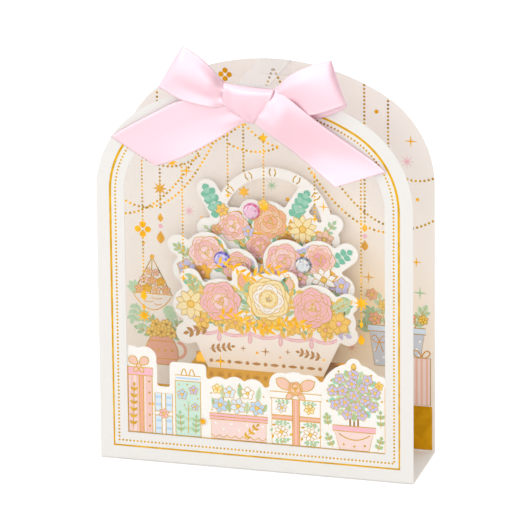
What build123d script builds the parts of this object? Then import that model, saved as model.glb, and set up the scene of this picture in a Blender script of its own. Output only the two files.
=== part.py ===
from build123d import *
import os
from math import cos, radians, sin, sqrt

# A standing pop-up greeting card. Millimetres, +Z up, +X to the reader's right.
# The reader looks along +Y. The origin is the middle of the base's lower face.

# Card shell: front panel, base and back panel folded from one sheet of card stock.
panel_width = 120.0
panel_height = 150.0
crown_radius = 81.8
shoulder_radius = 39.0
card_depth = 34.0
card_thickness = 0.4
fold_radius = 0.8

# Arched window in the front panel, and the clear film glued behind it.
window_margin = 10.6
window_sill = 11.0
glue_lap = 3.0
film_thickness = 0.2

# Clear film bridge that ties the tops of the two panels together.
bridge_width = 12.0
bridge_rise = 0.4
bridge_tab = 6.5
bridge_crease = 0.5

# Foil shelf that spans the card from front to back and carries the basket.
shelf_height = 30.6
shelf_width = 64.0
shelf_thickness = 0.3
shelf_front_tab = 6.0
shelf_back_tab = 2.0
shelf_crease = 0.5

# Die-cut layers of the basket, held apart by foam pads.
layer_thickness = 0.4
layer_gap = 2.8
back_gap = 3.6
cut_border = 1.3
cut_soften = 1.0
basket_centre = -2.35
basket_bottom_width = 44.5
basket_rim_width = 59.5
basket_rim_height = 16.0
front_filling_height = 24.0
back_filling_height = 47.0
back_layer_inset = 2.0

# Handle of the basket, cut in one piece with the back layer.
handle_radius = 23.0
handle_width = 4.0
handle_offset = 1.6
handle_centre_height = 55.5
handle_leg = 12.0

# Hidden strip that joins the two clusters of the middle layer.
middle_strip_width = 56.0
middle_strip_bottom = 17.0
middle_strip_height = 16.0

# Foam pads between the layers.
pad_width = 8.0
pad_height = 6.0

# Faceted rhinestones with flat backs, glued to the flowers.
gem_diameter = 6.5
gem_height = 2.3
gem_girdle = 0.5
gem_facets = 8
gem_main_taper = 44.0
gem_break_taper = 30.0

# Satin ribbon bow glued to the top of the front panel. Angles and reaches are from the knot.
ribbon_width = 17.0
ribbon_thickness = 0.4
ribbon_pinch = 9.0
knot_drop = 5.0
knot_shift = -1.0
knot_thickness = 5.0
knot_top_width = 18.6
knot_waist_width = 15.0
knot_bottom_width = 4.0
knot_rise = 5.3
knot_fall = 7.6
knot_waist_fall = 2.5
knot_round = 1.6
left_loop_angle = 158.5
left_loop_reach = 32.6
right_loop_angle = 15.3
right_loop_reach = 35.4
loop_waist = 10.0
loop_flare = 20.0
loop_back_gap = 1.2
loop_end_radius = 1.3
loop_bulge = 6.4
loop_peak = 0.55
loop_root = 1.2
left_tail_angle = 207.6
right_tail_angle = -32.3
tail_reach = 50.0
tail_flare = 12.0
tail_slant = 11.0
tail_gap = 0.3
tail_lift = 1.5
tail_sag = 0.6
tail_sag_at = 0.45

shoulder_centre_x = panel_width / 2 - shoulder_radius
shoulder_rise = sqrt((crown_radius - shoulder_radius) ** 2 - shoulder_centre_x**2)
shoulder_height = panel_height - crown_radius + shoulder_rise

front_outer = -card_depth / 2
front_inner = front_outer + card_thickness
back_inner = card_depth / 2 - card_thickness
gift_front = front_inner + film_thickness
gift_back = gift_front + layer_thickness
back_layer_front = back_inner - back_gap - layer_thickness
middle_layer_front = back_layer_front - layer_gap - layer_thickness
front_layer_front = middle_layer_front - layer_gap - layer_thickness

# Blooms of each basket layer as (across, up, radius), from the middle of the basket's bottom edge.
front_blooms = [
    (-28.6, 24.4, 5.5),
    (-17.1, 25.9, 8.2),
    (1.4, 28.9, 8.8),
    (19.4, 26.4, 8.2),
    (28.5, 21.9, 5.0),
]
middle_blooms = [
    (-30.6, 36.9, 4.5),
    (-23.1, 43.9, 7.0),
    (-11.1, 38.9, 6.5),
    (7.4, 42.9, 7.5),
    (19.9, 44.4, 6.5),
    (22.8, 35.4, 6.0),
    (28.0, 34.0, 4.2),
]
back_blooms = [
    (-13.1, 54.4, 6.0),
    (-0.1, 56.9, 7.0),
    (12.4, 54.9, 6.0),
    (21.4, 51.4, 4.5),
    (-5.6, 46.4, 7.5),
    (6.4, 46.4, 7.5),
    (16.4, 45.4, 7.0),
]

# Leaf sprays of each layer as (stem end, tip, width).
front_sprays = [
    ((-25.0, 27.5), (-28.8, 34.5), 5.5),
    ((-7.6, 30.0), (-8.9, 37.2), 5.0),
    ((8.5, 31.0), (9.0, 36.5), 5.0),
    ((26.0, 26.0), (31.6, 29.5), 5.5),
    ((27.0, 19.0), (31.8, 16.8), 5.0),
    ((-22.0, 15.5), (-30.2, 13.0), 6.0),
]
middle_sprays = [
    ((-29.0, 43.4), (-34.5, 46.5), 5.0),
    ((26.0, 44.0), (30.6, 47.8), 6.0),
]
back_sprays = [
    ((-17.6, 57.4), (-23.6, 67.9), 5.5),
    ((9.4, 60.4), (14.4, 68.4), 5.5),
    ((22.4, 55.4), (24.7, 58.0), 5.0),
    ((-19.6, 49.4), (-23.9, 52.9), 5.0),
]

# Gems and pads as (across, up), from the same point.
pink_gem = (-6.5, 60.8)
purple_gem = (-17.1, 42.0)
clear_gem = (14.1, 42.4)
front_pads = [(-19.0, 24.5), (1.4, 25.5), (20.0, 24.5)]
middle_pads = [(-13.5, 24.0), (14.5, 24.0), (-10.7, 36.5), (8.4, 38.5)]
back_pads = [(-12.0, 20.0), (12.0, 20.0), (-12.0, 53.0), (10.5, 53.0)]

# Row of gifts behind the window: boxes as (left, right, height over the sill), and round shapes as
# (x, height over the sill, radius). A strip behind them all ends below the shelf's front fold.
gift_boxes = [
    (-51.0, -39.5, 27.4),
    (-39.5, -31.6, 17.5),
    (-31.6, -20.6, 27.6),
    (-18.0, 4.5, 18.5),
    (5.2, 25.2, 21.0),
]
gift_rounds = [
    (-48.0, 29.8, 2.9),
    (-42.6, 29.8, 2.9),
    (-14.6, 20.0, 3.2),
    (-8.2, 20.8, 2.9),
    (-1.2, 20.4, 3.0),
    (9.6, 24.0, 3.0),
    (14.8, 23.0, 4.6),
    (20.2, 24.0, 3.0),
    (37.4, 21.6, 11.2),
    (37.2, 33.4, 1.4),
    (47.0, 26.6, 2.2),
]
gift_border = 1.5
gift_strip_drop = 3.6


def upright(front_y):
    """Plane standing across the card at front_y, facing the reader."""
    return Plane(origin=(0, front_y, 0), x_dir=(1, 0, 0), z_dir=(0, -1, 0))


def cut_sheet(face, front_y, thickness):
    """A flat upright sheet with its printed side at front_y and its back behind it."""
    return extrude(upright(front_y) * face, -thickness)


def arched_face(inset, sill):
    """The card's arch drawn in by inset all round, down to a straight sill."""
    half = panel_width / 2 - inset
    shoulder_centre = Vector(shoulder_centre_x, shoulder_height)
    crown_centre = Vector(0, panel_height - crown_radius)
    join = crown_centre + (shoulder_centre - crown_centre).normalized() * (crown_radius - inset)
    right = Line((half, sill), (half, shoulder_height))
    right_shoulder = TangentArc(right @ 1, join, tangent=right % 1)
    top = TangentArc(join, (-join.X, join.Y), tangent=right_shoulder % 1)
    left_shoulder = TangentArc(top @ 1, (-half, shoulder_height), tangent=top % 1)
    left = Line(left_shoulder @ 1, (-half, sill))
    bottom = Line(left @ 1, right @ 0)
    return make_face([right, right_shoulder, top, left_shoulder, left, bottom])


def polygon_face(points):
    """A straight-sided face through the given corners."""
    return make_face(Polyline(*points, close=True))


def box_face(left, right, bottom, top):
    """A rectangle given by its four sides."""
    return Pos((left + right) / 2, (bottom + top) / 2) * Rectangle(right - left, top - bottom)


def spray_face(stem, tip, width):
    """The rounded strip of card that carries one spray of leaves."""
    return SlotCenterToCenter(abs(Vector(*tip) - Vector(*stem)), width).moved(
        Location(
            ((stem[0] + tip[0]) / 2, (stem[1] + tip[1]) / 2, 0),
            (0, 0, Vector(1, 0).get_signed_angle(Vector(*tip) - Vector(*stem), Vector(0, 0, 1))),
        )
    )


def die_cut(faces, border):
    """One outline round all the motifs, a border's width away, with its inner corners softened."""
    joined = Sketch() + [offset(face, border) for face in faces]
    solid_card = make_face(joined.face().outer_wire().edges())
    return offset(offset(solid_card, cut_soften), -cut_soften)


def on_basket(face):
    """Moves a face from the basket's own origin to its place on the card."""
    return Pos(basket_centre, shelf_height) * face


def basket_wall(inset):
    """The tapered wall of the basket, drawn in at both sides by inset."""
    bottom = basket_bottom_width / 2 - inset
    rim = basket_rim_width / 2 - inset
    height = basket_rim_height
    return polygon_face([(-bottom, 0), (bottom, 0), (rim, height), (-rim, height)])


def flower_faces(blooms, sprays):
    """Round blooms and leaf sprays of one layer."""
    rounds = [Pos(across, up) * Circle(radius) for across, up, radius in blooms]
    return rounds + [spray_face(stem, tip, width) for stem, tip, width in sprays]


def make_card_shell():
    outer_box = box_face(-card_depth / 2, card_depth / 2, 0, panel_height)
    outer = fillet(outer_box.vertices().group_by(Axis.Y)[0], fold_radius)
    inner_box = box_face(front_inner, back_inner, card_thickness, panel_height + card_thickness)
    inner = fillet(inner_box.vertices().group_by(Axis.Y)[0], fold_radius - card_thickness)
    folded = extrude(Plane.YZ * (outer - inner), panel_width / 2, both=True)
    arch = cut_sheet(arched_face(0, 0), front_outer, card_depth)
    window = cut_sheet(arched_face(window_margin, window_sill), front_outer, card_thickness)
    return (folded & arch) - window


def make_window_film():
    face = arched_face(window_margin - glue_lap, window_sill - glue_lap)
    return cut_sheet(face, front_inner, film_thickness)


def make_gift_row():
    frame = arched_face(window_margin - glue_lap, window_sill - glue_lap)
    half = panel_width / 2 - window_margin + glue_lap
    strip = box_face(-half, half, window_sill - glue_lap, shelf_height - gift_strip_drop)
    sill = window_sill
    boxes = [box_face(left, right, sill, sill + height) for left, right, height in gift_boxes]
    rounds = [Pos(x, sill + up) * Circle(radius) for x, up, radius in gift_rounds]
    silhouette = die_cut([strip] + boxes + rounds, gift_border)
    return cut_sheet(silhouette & frame, gift_front, layer_thickness)


def is_at(vertex, x, y):
    """Whether a vertex of a flat profile lies at x, y."""
    return abs(vertex.X - x) < 1e-6 and abs(vertex.Y - y) < 1e-6


def make_gold_shelf():
    top = shelf_height
    under = shelf_height - shelf_thickness
    front_tab = box_face(gift_back, gift_back + shelf_thickness, top - shelf_front_tab, top)
    deck = box_face(gift_back, back_inner, under, top)
    back_tab = box_face(back_inner - shelf_thickness, back_inner, under, top + shelf_back_tab)
    profile = front_tab + deck + back_tab
    outer_corners = [
        v for v in profile.vertices() if is_at(v, gift_back, top) or is_at(v, back_inner, under)
    ]
    rounded = fillet(outer_corners, shelf_crease)
    inner_corners = [
        v
        for v in rounded.vertices()
        if is_at(v, gift_back + shelf_thickness, under) or is_at(v, back_inner - shelf_thickness, top)
    ]
    rounded = fillet(inner_corners, shelf_crease - shelf_thickness)
    return extrude(Plane.YZ * rounded, shelf_width / 2, both=True)


def make_film_bridge():
    top = panel_height + bridge_rise
    outer = box_face(front_inner, back_inner, top - bridge_tab, top)
    outer = fillet(outer.vertices().group_by(Axis.Y)[-1], bridge_crease)
    inner = box_face(
        front_inner + film_thickness,
        back_inner - film_thickness,
        top - bridge_tab - film_thickness,
        top - film_thickness,
    )
    inner = fillet(inner.vertices().group_by(Axis.Y)[-1], bridge_crease - film_thickness)
    return extrude(Plane.YZ * (outer - inner), bridge_width / 2, both=True)


def make_basket_front():
    half = basket_bottom_width / 2
    filling = box_face(-half, half, basket_rim_height / 2, front_filling_height)
    flowers = die_cut([filling] + flower_faces(front_blooms, front_sprays), cut_border)
    return cut_sheet(on_basket(basket_wall(0) + flowers), front_layer_front, layer_thickness)


def gem_seat(place):
    """Card under a stone."""
    return Pos(*place) * Circle(gem_diameter / 2)


def make_flowers_middle():
    strip = box_face(
        -middle_strip_width / 2,
        middle_strip_width / 2,
        middle_strip_bottom,
        middle_strip_bottom + middle_strip_height,
    )
    seats = [gem_seat(purple_gem), gem_seat(clear_gem)]
    flowers = die_cut([strip] + seats + flower_faces(middle_blooms, middle_sprays), cut_border)
    return cut_sheet(on_basket(flowers), middle_layer_front, layer_thickness)


def handle_face():
    """The basket's arched handle with its two legs."""
    ring = Circle(handle_radius) - Circle(handle_radius - handle_width)
    arch = ring & box_face(-handle_radius, handle_radius, 0, handle_radius)
    right_leg = box_face(handle_radius - handle_width, handle_radius, -handle_leg, 0)
    left_leg = box_face(-handle_radius, handle_width - handle_radius, -handle_leg, 0)
    return Pos(handle_offset, handle_centre_height) * (arch + right_leg + left_leg)


def make_basket_back():
    half = basket_bottom_width / 2 - back_layer_inset
    filling = box_face(-half, half, basket_rim_height / 2, back_filling_height)
    motifs = [filling, gem_seat(pink_gem)] + flower_faces(back_blooms, back_sprays)
    flowers = die_cut(motifs, cut_border)
    face = basket_wall(back_layer_inset) + flowers + handle_face()
    return cut_sheet(on_basket(face), back_layer_front, layer_thickness)


def make_pads(places, front_y, gap):
    """Foam pads that fill the gap behind one layer."""
    pads = [Pos(across, up) * Rectangle(pad_width, pad_height) for across, up in places]
    return cut_sheet(on_basket(Sketch() + pads), front_y, gap)


def cone_of_facets(outline, girdle, taper):
    """A straight girdle with one ring of facets that lean inwards above it."""
    crown = Pos(0, 0, girdle) * extrude(outline, gem_height - girdle, taper=taper)
    return extrude(outline, girdle) + crown


def make_gem(place, seat_y):
    """A flat-backed stone: a round girdle, eight main facets and eight break facets."""
    blank = Cylinder(gem_diameter / 2, gem_height, align=(Align.CENTER, Align.CENTER, Align.MIN))
    outline = RegularPolygon(gem_diameter / 2, gem_facets, major_radius=False)
    main = cone_of_facets(outline, gem_girdle, gem_main_taper)
    breaks = cone_of_facets(outline, gem_girdle / 2, gem_break_taper)
    stone = blank & main & (Rot(0, 0, 180 / gem_facets) * breaks)
    across, up = place
    return upright(seat_y) * Pos(basket_centre + across, shelf_height + up) * stone


def from_above(angle):
    """Plane seen from above a strip of the bow: its x runs out from the knot, its y to the back."""
    turn = radians(angle)
    return Plane(
        origin=(knot_shift, 0, panel_height - knot_drop),
        x_dir=(cos(turn), 0, sin(turn)),
        z_dir=(-sin(turn), 0, cos(turn)),
    )


def from_front(angle):
    """Plane seen from the front of a strip of the bow: its x runs out from the knot, its y across."""
    turn = radians(angle)
    return Plane(
        origin=(knot_shift, front_outer, panel_height - knot_drop),
        x_dir=(cos(turn), 0, sin(turn)),
        z_dir=(0, -1, 0),
    )


def bow_strip(profile, angle, outline):
    """A ribbon's profile swept across its width and trimmed to its outline from the front."""
    swept = extrude(from_above(angle) * profile, ribbon_width, both=True)
    return swept & extrude(from_front(angle) * polygon_face(outline), knot_thickness + loop_bulge)


def loop_outline(reach):
    """A loop from the front: pinched up to its waist, full width from the flare to its end."""
    lower = [
        (0, -ribbon_pinch / 2),
        (loop_waist, -ribbon_pinch / 2),
        (loop_flare, -ribbon_width / 2),
        (reach, -ribbon_width / 2),
    ]
    return lower + [(along, -across) for along, across in reversed(lower)]


def tail_outline(reach, slant):
    """A tail from the front: pinched at the knot, with its end cut on the slant."""
    return [
        (0, -ribbon_pinch / 2),
        (tail_flare, -ribbon_width / 2),
        (reach - slant / 2, -ribbon_width / 2),
        (reach + slant / 2, ribbon_width / 2),
        (tail_flare, ribbon_width / 2),
        (0, ribbon_pinch / 2),
    ]


def loop_profile(reach):
    """A hollow loop of ribbon: a bulging front, a round end and a flat back."""
    back_y = front_outer - loop_back_gap
    front_y = back_y - 2 * loop_end_radius
    end_x = reach - loop_end_radius
    start = (0, back_y - loop_root)
    front = ThreePointArc(start, (reach * loop_peak, front_outer - loop_bulge), (end_x, front_y))
    end = ThreePointArc(front @ 1, (reach, back_y - loop_end_radius), (end_x, back_y))
    back = Line(end @ 1, (0, back_y))
    close = Line(back @ 1, front @ 0)
    outer = make_face([front, end, back, close])
    return outer - offset(outer, -ribbon_thickness)


def tail_profile(reach):
    """A tail of ribbon that leaves the knot and settles towards the panel."""
    near_y = front_outer - tail_gap - tail_lift
    far_y = front_outer - tail_gap
    sag_x = reach * tail_sag_at
    sag_y = far_y - tail_sag
    back = ThreePointArc((0, near_y), (sag_x, sag_y), (reach, far_y))
    front = ThreePointArc(
        (reach, far_y - ribbon_thickness),
        (sag_x, sag_y - ribbon_thickness),
        (0, near_y - ribbon_thickness),
    )
    return make_face([back, Line(back @ 1, front @ 0), front, Line(front @ 1, back @ 0)])


def make_knot():
    """The band of ribbon round the middle of the bow, wide at the top and gathered below."""
    outline = polygon_face(
        [
            (-knot_top_width / 2, knot_rise),
            (knot_top_width / 2, knot_rise),
            (knot_waist_width / 2, -knot_waist_fall),
            (knot_bottom_width / 2, -knot_fall),
            (-knot_bottom_width / 2, -knot_fall),
            (-knot_waist_width / 2, -knot_waist_fall),
        ]
    )
    block = extrude(from_front(0) * outline, knot_thickness)
    return fillet(block.faces().sort_by(Axis.Y)[0].edges(), knot_round)


def make_loop(angle, reach):
    return bow_strip(loop_profile(reach), angle, loop_outline(reach))


def make_tail(angle, slant):
    return bow_strip(tail_profile(tail_reach + tail_slant / 2), angle, tail_outline(tail_reach, slant))


def make_ribbon_bow():
    loops = make_loop(left_loop_angle, left_loop_reach) + make_loop(right_loop_angle, right_loop_reach)
    tails = make_tail(left_tail_angle, -tail_slant) + make_tail(right_tail_angle, tail_slant)
    return make_knot() + loops + tails


nodes = {
    "card_shell": make_card_shell(),
    "window_film": make_window_film(),
    "gift_row": make_gift_row(),
    "gold_shelf": make_gold_shelf(),
    "film_bridge": make_film_bridge(),
    "basket_front": make_basket_front(),
    "flowers_middle": make_flowers_middle(),
    "basket_back": make_basket_back(),
    "foam_pads_front": make_pads(front_pads, front_layer_front + layer_thickness, layer_gap),
    "foam_pads_middle": make_pads(middle_pads, middle_layer_front + layer_thickness, layer_gap),
    "foam_pads_back": make_pads(back_pads, back_layer_front + layer_thickness, back_gap),
    "gem_pink": make_gem(pink_gem, back_layer_front),
    "gem_purple": make_gem(purple_gem, middle_layer_front),
    "gem_clear": make_gem(clear_gem, middle_layer_front),
    "ribbon_bow": make_ribbon_bow(),
}

os.makedirs("parts", exist_ok=True)
for name, solid in nodes.items():
    export_step(solid, f"parts/{name}.step")
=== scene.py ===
import random
from cmath import rect
from math import cos, pi, radians, sin

import bpy
from mathutils import Matrix, Vector


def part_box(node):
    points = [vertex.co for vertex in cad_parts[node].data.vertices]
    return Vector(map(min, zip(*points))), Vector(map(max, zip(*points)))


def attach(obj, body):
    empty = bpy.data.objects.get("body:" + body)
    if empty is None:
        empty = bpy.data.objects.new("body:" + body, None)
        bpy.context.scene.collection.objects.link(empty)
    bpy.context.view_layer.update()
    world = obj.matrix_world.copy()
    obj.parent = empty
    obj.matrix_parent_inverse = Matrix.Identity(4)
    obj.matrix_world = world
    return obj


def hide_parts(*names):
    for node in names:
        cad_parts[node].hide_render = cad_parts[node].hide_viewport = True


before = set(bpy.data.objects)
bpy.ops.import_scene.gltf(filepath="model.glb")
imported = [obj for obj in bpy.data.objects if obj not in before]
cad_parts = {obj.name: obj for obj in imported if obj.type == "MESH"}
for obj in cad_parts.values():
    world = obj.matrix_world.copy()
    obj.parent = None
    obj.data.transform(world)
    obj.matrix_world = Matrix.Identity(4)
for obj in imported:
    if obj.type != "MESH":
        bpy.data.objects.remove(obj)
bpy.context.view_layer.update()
mm = 0.001


# Camera, studio and floor. A long lens looks down on the card from its front right, in an even white
# surround with three soft lamps, two in front and one behind. In mirrors the surround is brightest high
# on the left and dims towards the right, so that foil and satin have something to show.
CAMERA_AZIMUTH = radians(15.208)
CAMERA_ELEVATION = radians(19.574)
CAMERA_ROLL = radians(-0.568)
CAMERA_DISTANCE = 2.3531
CAMERA_TARGET = Vector((-0.134, 0.0, 74.825)) * mm
CAMERA_LENS = 430.62
SENSOR_WIDTH = 36.0
FAR_CLIP = 20.0

view_back = Vector(
    (
        sin(CAMERA_AZIMUTH) * cos(CAMERA_ELEVATION),
        -cos(CAMERA_AZIMUTH) * cos(CAMERA_ELEVATION),
        sin(CAMERA_ELEVATION),
    )
)
level_right = Vector((cos(CAMERA_AZIMUTH), sin(CAMERA_AZIMUTH), 0.0))
level_up = view_back.cross(level_right)
view_right = level_right * cos(CAMERA_ROLL) + level_up * sin(CAMERA_ROLL)
view_up = view_back.cross(view_right)
turned = Matrix((view_right, view_up, view_back)).transposed().to_4x4()
camera = bpy.data.objects.new("camera", bpy.data.cameras.new("camera"))
bpy.context.scene.collection.objects.link(camera)
camera.data.lens = CAMERA_LENS
camera.data.sensor_width = SENSOR_WIDTH
camera.data.clip_end = FAR_CLIP
camera.matrix_world = Matrix.Translation(CAMERA_TARGET + view_back * CAMERA_DISTANCE) @ turned
bpy.context.scene.camera = camera
bpy.context.scene.view_settings.view_transform = "Standard"


def linear(hex_colour):
    """An sRGB hex colour as linear light."""
    channels = [int(hex_colour[at : at + 2], 16) / 255 for at in (1, 3, 5)]
    return tuple(c / 12.92 if c <= 0.04045 else ((c + 0.055) / 1.055) ** 2.4 for c in channels) + (1.0,)


def add_node(tree, kind, inputs=None, links=None, **properties):
    """Adds a shader node with its properties, its inputs' values and its links from (node, output)."""
    node = tree.nodes.new("ShaderNode" + kind)
    for name, value in properties.items():
        setattr(node, name, value)
    for name, value in (inputs or {}).items():
        node.inputs[name].default_value = value
    for name, (source, output) in (links or {}).items():
        tree.links.new(source.outputs[output], node.inputs[name])
    return node


def blank_material(name):
    """A new material with an empty node tree."""
    material = bpy.data.materials.new(name)
    material.use_nodes = True
    material.node_tree.nodes.clear()
    return material, material.node_tree


def new_piece(name, corners, faces, materials, finishes=None):
    """A mesh object in the scene. Finishes are the number of each face's material, if there are several."""
    mesh = bpy.data.meshes.new(name)
    mesh.from_pydata(corners, [], faces)
    for material in materials:
        mesh.materials.append(material)
    if finishes:
        mesh.polygons.foreach_set("material_index", finishes)
    piece = bpy.data.objects.new(name, mesh)
    bpy.context.scene.collection.objects.link(piece)
    return piece


def first_mirrored(tree):
    """One for rays off a mirror that have met no matte surface before, nought for all others."""
    path = add_node(tree, "LightPath")
    clean = add_node(tree, "Math", {1: 0.5}, {0: (path, "Diffuse Depth")}, operation="LESS_THAN")
    return add_node(tree, "Math", links={0: (path, "Is Glossy Ray"), 1: (clean, 0)}, operation="MULTIPLY")


def seen_directly(tree):
    """One for camera, mirror and see-through rays, nought for the light that falls on the card."""
    path = add_node(tree, "LightPath")
    straight = {0: (path, "Is Camera Ray"), 1: (path, "Is Transmission Ray")}
    shown = add_node(tree, "Math", links=straight, operation="MAXIMUM")
    return add_node(tree, "Math", links={0: (shown, 0), 1: (first_mirrored(tree), 0)}, operation="MAXIMUM")


SURROUND_LIGHT = 0.97
MIRRORED_BRIGHT = 2.0
MIRRORED_DIM = 0.3
BRIGHT_HEADING = Vector((-0.62, -0.45, 0.64))
DIM_END = -0.4
BRIGHT_END = 0.9
world = bpy.data.worlds.new("white_surround")
bpy.context.scene.world = world
world.use_nodes = True
tree = world.node_tree
tree.nodes.clear()
heading = add_node(tree, "TexCoord")
towards_light = add_node(
    tree, "VectorMath", {1: BRIGHT_HEADING}, {0: (heading, "Generated")}, operation="DOT_PRODUCT"
)
mirrored = add_node(
    tree,
    "MapRange",
    {"From Min": DIM_END, "From Max": BRIGHT_END, "To Min": MIRRORED_DIM, "To Max": MIRRORED_BRIGHT},
    {"Value": (towards_light, "Value")},
    interpolation_type="SMOOTHSTEP",
)
direct = add_node(
    tree, "MapRange", {"To Min": SURROUND_LIGHT, "To Max": 1.0}, {"Value": (seen_directly(tree), 0)}
)
strength = add_node(tree, "Mix", links={0: (first_mirrored(tree), 0), 2: (direct, 0), 3: (mirrored, 0)})
surround = add_node(tree, "Background", {"Color": linear("#FFFFFF")}, {"Strength": (strength, 0)})
add_node(tree, "OutputWorld", links={"Surface": (surround, 0)})

LAMP_TARGET = Vector((0.0, 0.0, 0.08))
LAMPS = (
    # name, place, width, power
    ("soft_box_left", Vector((-0.75, -1.15, 0.95)), 0.8, 2.3),
    ("soft_box_front", Vector((0.2, -1.6, 0.5)), 1.0, 3.2),
    ("soft_box_back", Vector((0.5, 1.5, 0.7)), 0.8, 2.8),
)
for lamp_name, place, width, power in LAMPS:
    lamp = bpy.data.objects.new(lamp_name, bpy.data.lights.new(lamp_name, "AREA"))
    bpy.context.scene.collection.objects.link(lamp)
    lamp.data.size = width
    lamp.data.energy = power
    lamp.location = place
    lamp.rotation_euler = (place - LAMP_TARGET).to_track_quat("Z", "Y").to_euler()

FLOOR_SIZE = 6.0
FLOOR_GAP = 0.1 * mm
FLOOR_GLOW = 0.42
# White seamless paper: matte, with a glow that only the camera and mirrors see, so it stays white.
seamless_paper, tree = blank_material("seamless_white_paper")
paper = add_node(tree, "BsdfPrincipled", {"Base Color": linear("#E6E4E2"), "Roughness": 0.9})
glow_strength = add_node(
    tree, "MapRange", {"To Min": 0.0, "To Max": FLOOR_GLOW}, {"Value": (seen_directly(tree), 0)}
)
glow = add_node(tree, "Emission", {"Color": linear("#FFFFFF")}, {"Strength": (glow_strength, 0)})
lit_paper = add_node(tree, "AddShader", links={0: (paper, 0), 1: (glow, 0)})
add_node(tree, "OutputMaterial", links={"Surface": (lit_paper, 0)})
floor_corners = [(x * FLOOR_SIZE / 2, y * FLOOR_SIZE / 2, 0) for x, y in ((-1, -1), (1, -1), (1, 1), (-1, 1))]
floor = new_piece("floor", floor_corners, [(0, 1, 2, 3)], [seamless_paper])
floor.location.z = -FLOOR_GAP


# Card shell. One sheet of smooth white card, scored and folded round the base, with an arched window
# cut in the front panel. The sheet isn't coated.
def dress(node_name, material):
    """Gives a CAD node its finish."""
    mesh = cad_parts[node_name].data
    mesh.materials.clear()
    mesh.materials.append(material)


CARD_TOOTH = 0.3 * mm
# Uncoated card: pressed wood fibre, matte, with a faint tooth. The tooth is drawn several times coarser
# than single fibres are, so that it shows.
card_board, tree = blank_material("uncoated_white_card")
spot = add_node(tree, "TexCoord")
fibres = add_node(tree, "TexNoise", {"Scale": 1 / CARD_TOOTH, "Detail": 3.0}, {"Vector": (spot, "Object")})
fibre_tones = {6: linear("#E7E4E0"), 7: linear("#F1EFEC")}
fibre_tint = add_node(tree, "Mix", fibre_tones, {0: (fibres, "Fac")}, data_type="RGBA")
tooth = add_node(tree, "Bump", {"Strength": 0.2, "Distance": 0.02 * mm}, {"Height": (fibres, "Fac")})
board = add_node(
    tree,
    "BsdfPrincipled",
    {"Roughness": 0.75, "IOR": 1.45},
    {"Base Color": (fibre_tint, 2), "Normal": (tooth, 0)},
)
add_node(tree, "OutputMaterial", links={"Surface": (board, 0)})
dress("card_shell", card_board)


# Foil border. A thin line and a row of dots run round the window, hot-stamped on the front panel in gold
# foil. All print is drawn in millimetres, across + up * 1j, and laid a hair in front of its sheet.
PRINT_STEP = 0.01 * mm
PRINT_TURNS = 7
FOIL_PEBBLE = 0.4 * mm
FOIL_WAVE = 4.0 * mm
CROWN_RADIUS = 81.8
SHOULDER_RADIUS = 39.0
SHOULDER_ANGLE = radians(60.61)
SHOULDER_STEPS = 24
CROWN_STEPS = 12
BORDER_LINE = (5.3, 5.6, 0.9)
BORDER_DOTS = (7.25, 7.7, 1.4, 0.42)
inks = {}


def hot_foil(name, colour, dull, roughness=0.32):
    """Hot-stamped metal foil: a bright metal skin that takes the card's tooth as a fine pebble, and looks
    duller in patches where it waves."""
    material, tree = blank_material(name)
    spot = add_node(tree, "TexCoord")
    pebble = add_node(tree, "TexNoise", {"Scale": 1 / FOIL_PEBBLE}, {"Vector": (spot, "Object")})
    dent = add_node(tree, "Bump", {"Strength": 0.35, "Distance": 0.02 * mm}, {"Height": (pebble, "Fac")})
    waves = add_node(tree, "TexNoise", {"Scale": 1 / FOIL_WAVE}, {"Vector": (spot, "Object")})
    patches = add_node(tree, "MapRange", {"From Min": 0.4, "From Max": 0.6}, {"Value": (waves, "Fac")})
    tones = {6: linear(dull), 7: linear(colour)}
    metal = add_node(tree, "Mix", tones, {0: (patches, 0)}, data_type="RGBA")
    skin = add_node(
        tree,
        "BsdfPrincipled",
        {"Metallic": 1.0, "Roughness": roughness},
        {"Base Color": (metal, 2), "Normal": (dent, 0)},
    )
    add_node(tree, "OutputMaterial", links={"Surface": (skin, 0)})
    inks[name] = material


def disc(centre, radius, sides=12):
    """A round dot."""
    return [centre + rect(radius, 2 * pi * side / sides) for side in range(sides)]


def band(path, width, closed=False):
    """A line of even width along a path, as four-cornered pieces."""
    edges = []
    for at, point in enumerate(path):
        before = path[at - 1] if closed or at else point
        after = path[(at + 1) % len(path)] if closed or at + 1 < len(path) else point
        across = 1j * (after - before) / abs(after - before) * width / 2
        edges.append((point + across, point - across))
    legs = zip(edges, edges[1:] + edges[:1] if closed else edges[1:])
    return [[left, right, far_right, far_left] for (left, right), (far_left, far_right) in legs]


def drawn(ink, level, path, width, closed=False):
    """A line of even width in one ink."""
    return [(ink, level, piece) for piece in band(path, width, closed)]


def spaced(path, pitch):
    """Points along a path, as near to that pitch as divides it evenly."""
    legs = [abs(b - a) for a, b in zip(path, path[1:])]
    count = max(1, round(sum(legs) / pitch))
    gap = sum(legs) / count
    points, walked, leg = [path[0]], 0.0, 0
    for step in range(1, count):
        while walked + legs[leg] < step * gap:
            walked += legs[leg]
            leg += 1
        points.append(path[leg] + (path[leg + 1] - path[leg]) * (step * gap - walked) / legs[leg])
    return points + [path[-1]]


def beads(ink, level, path, pitch, radius, sides=10):
    """A string of round dots along a path."""
    return [(ink, level, disc(point, radius, sides)) for point in spaced(path, pitch)]


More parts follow.
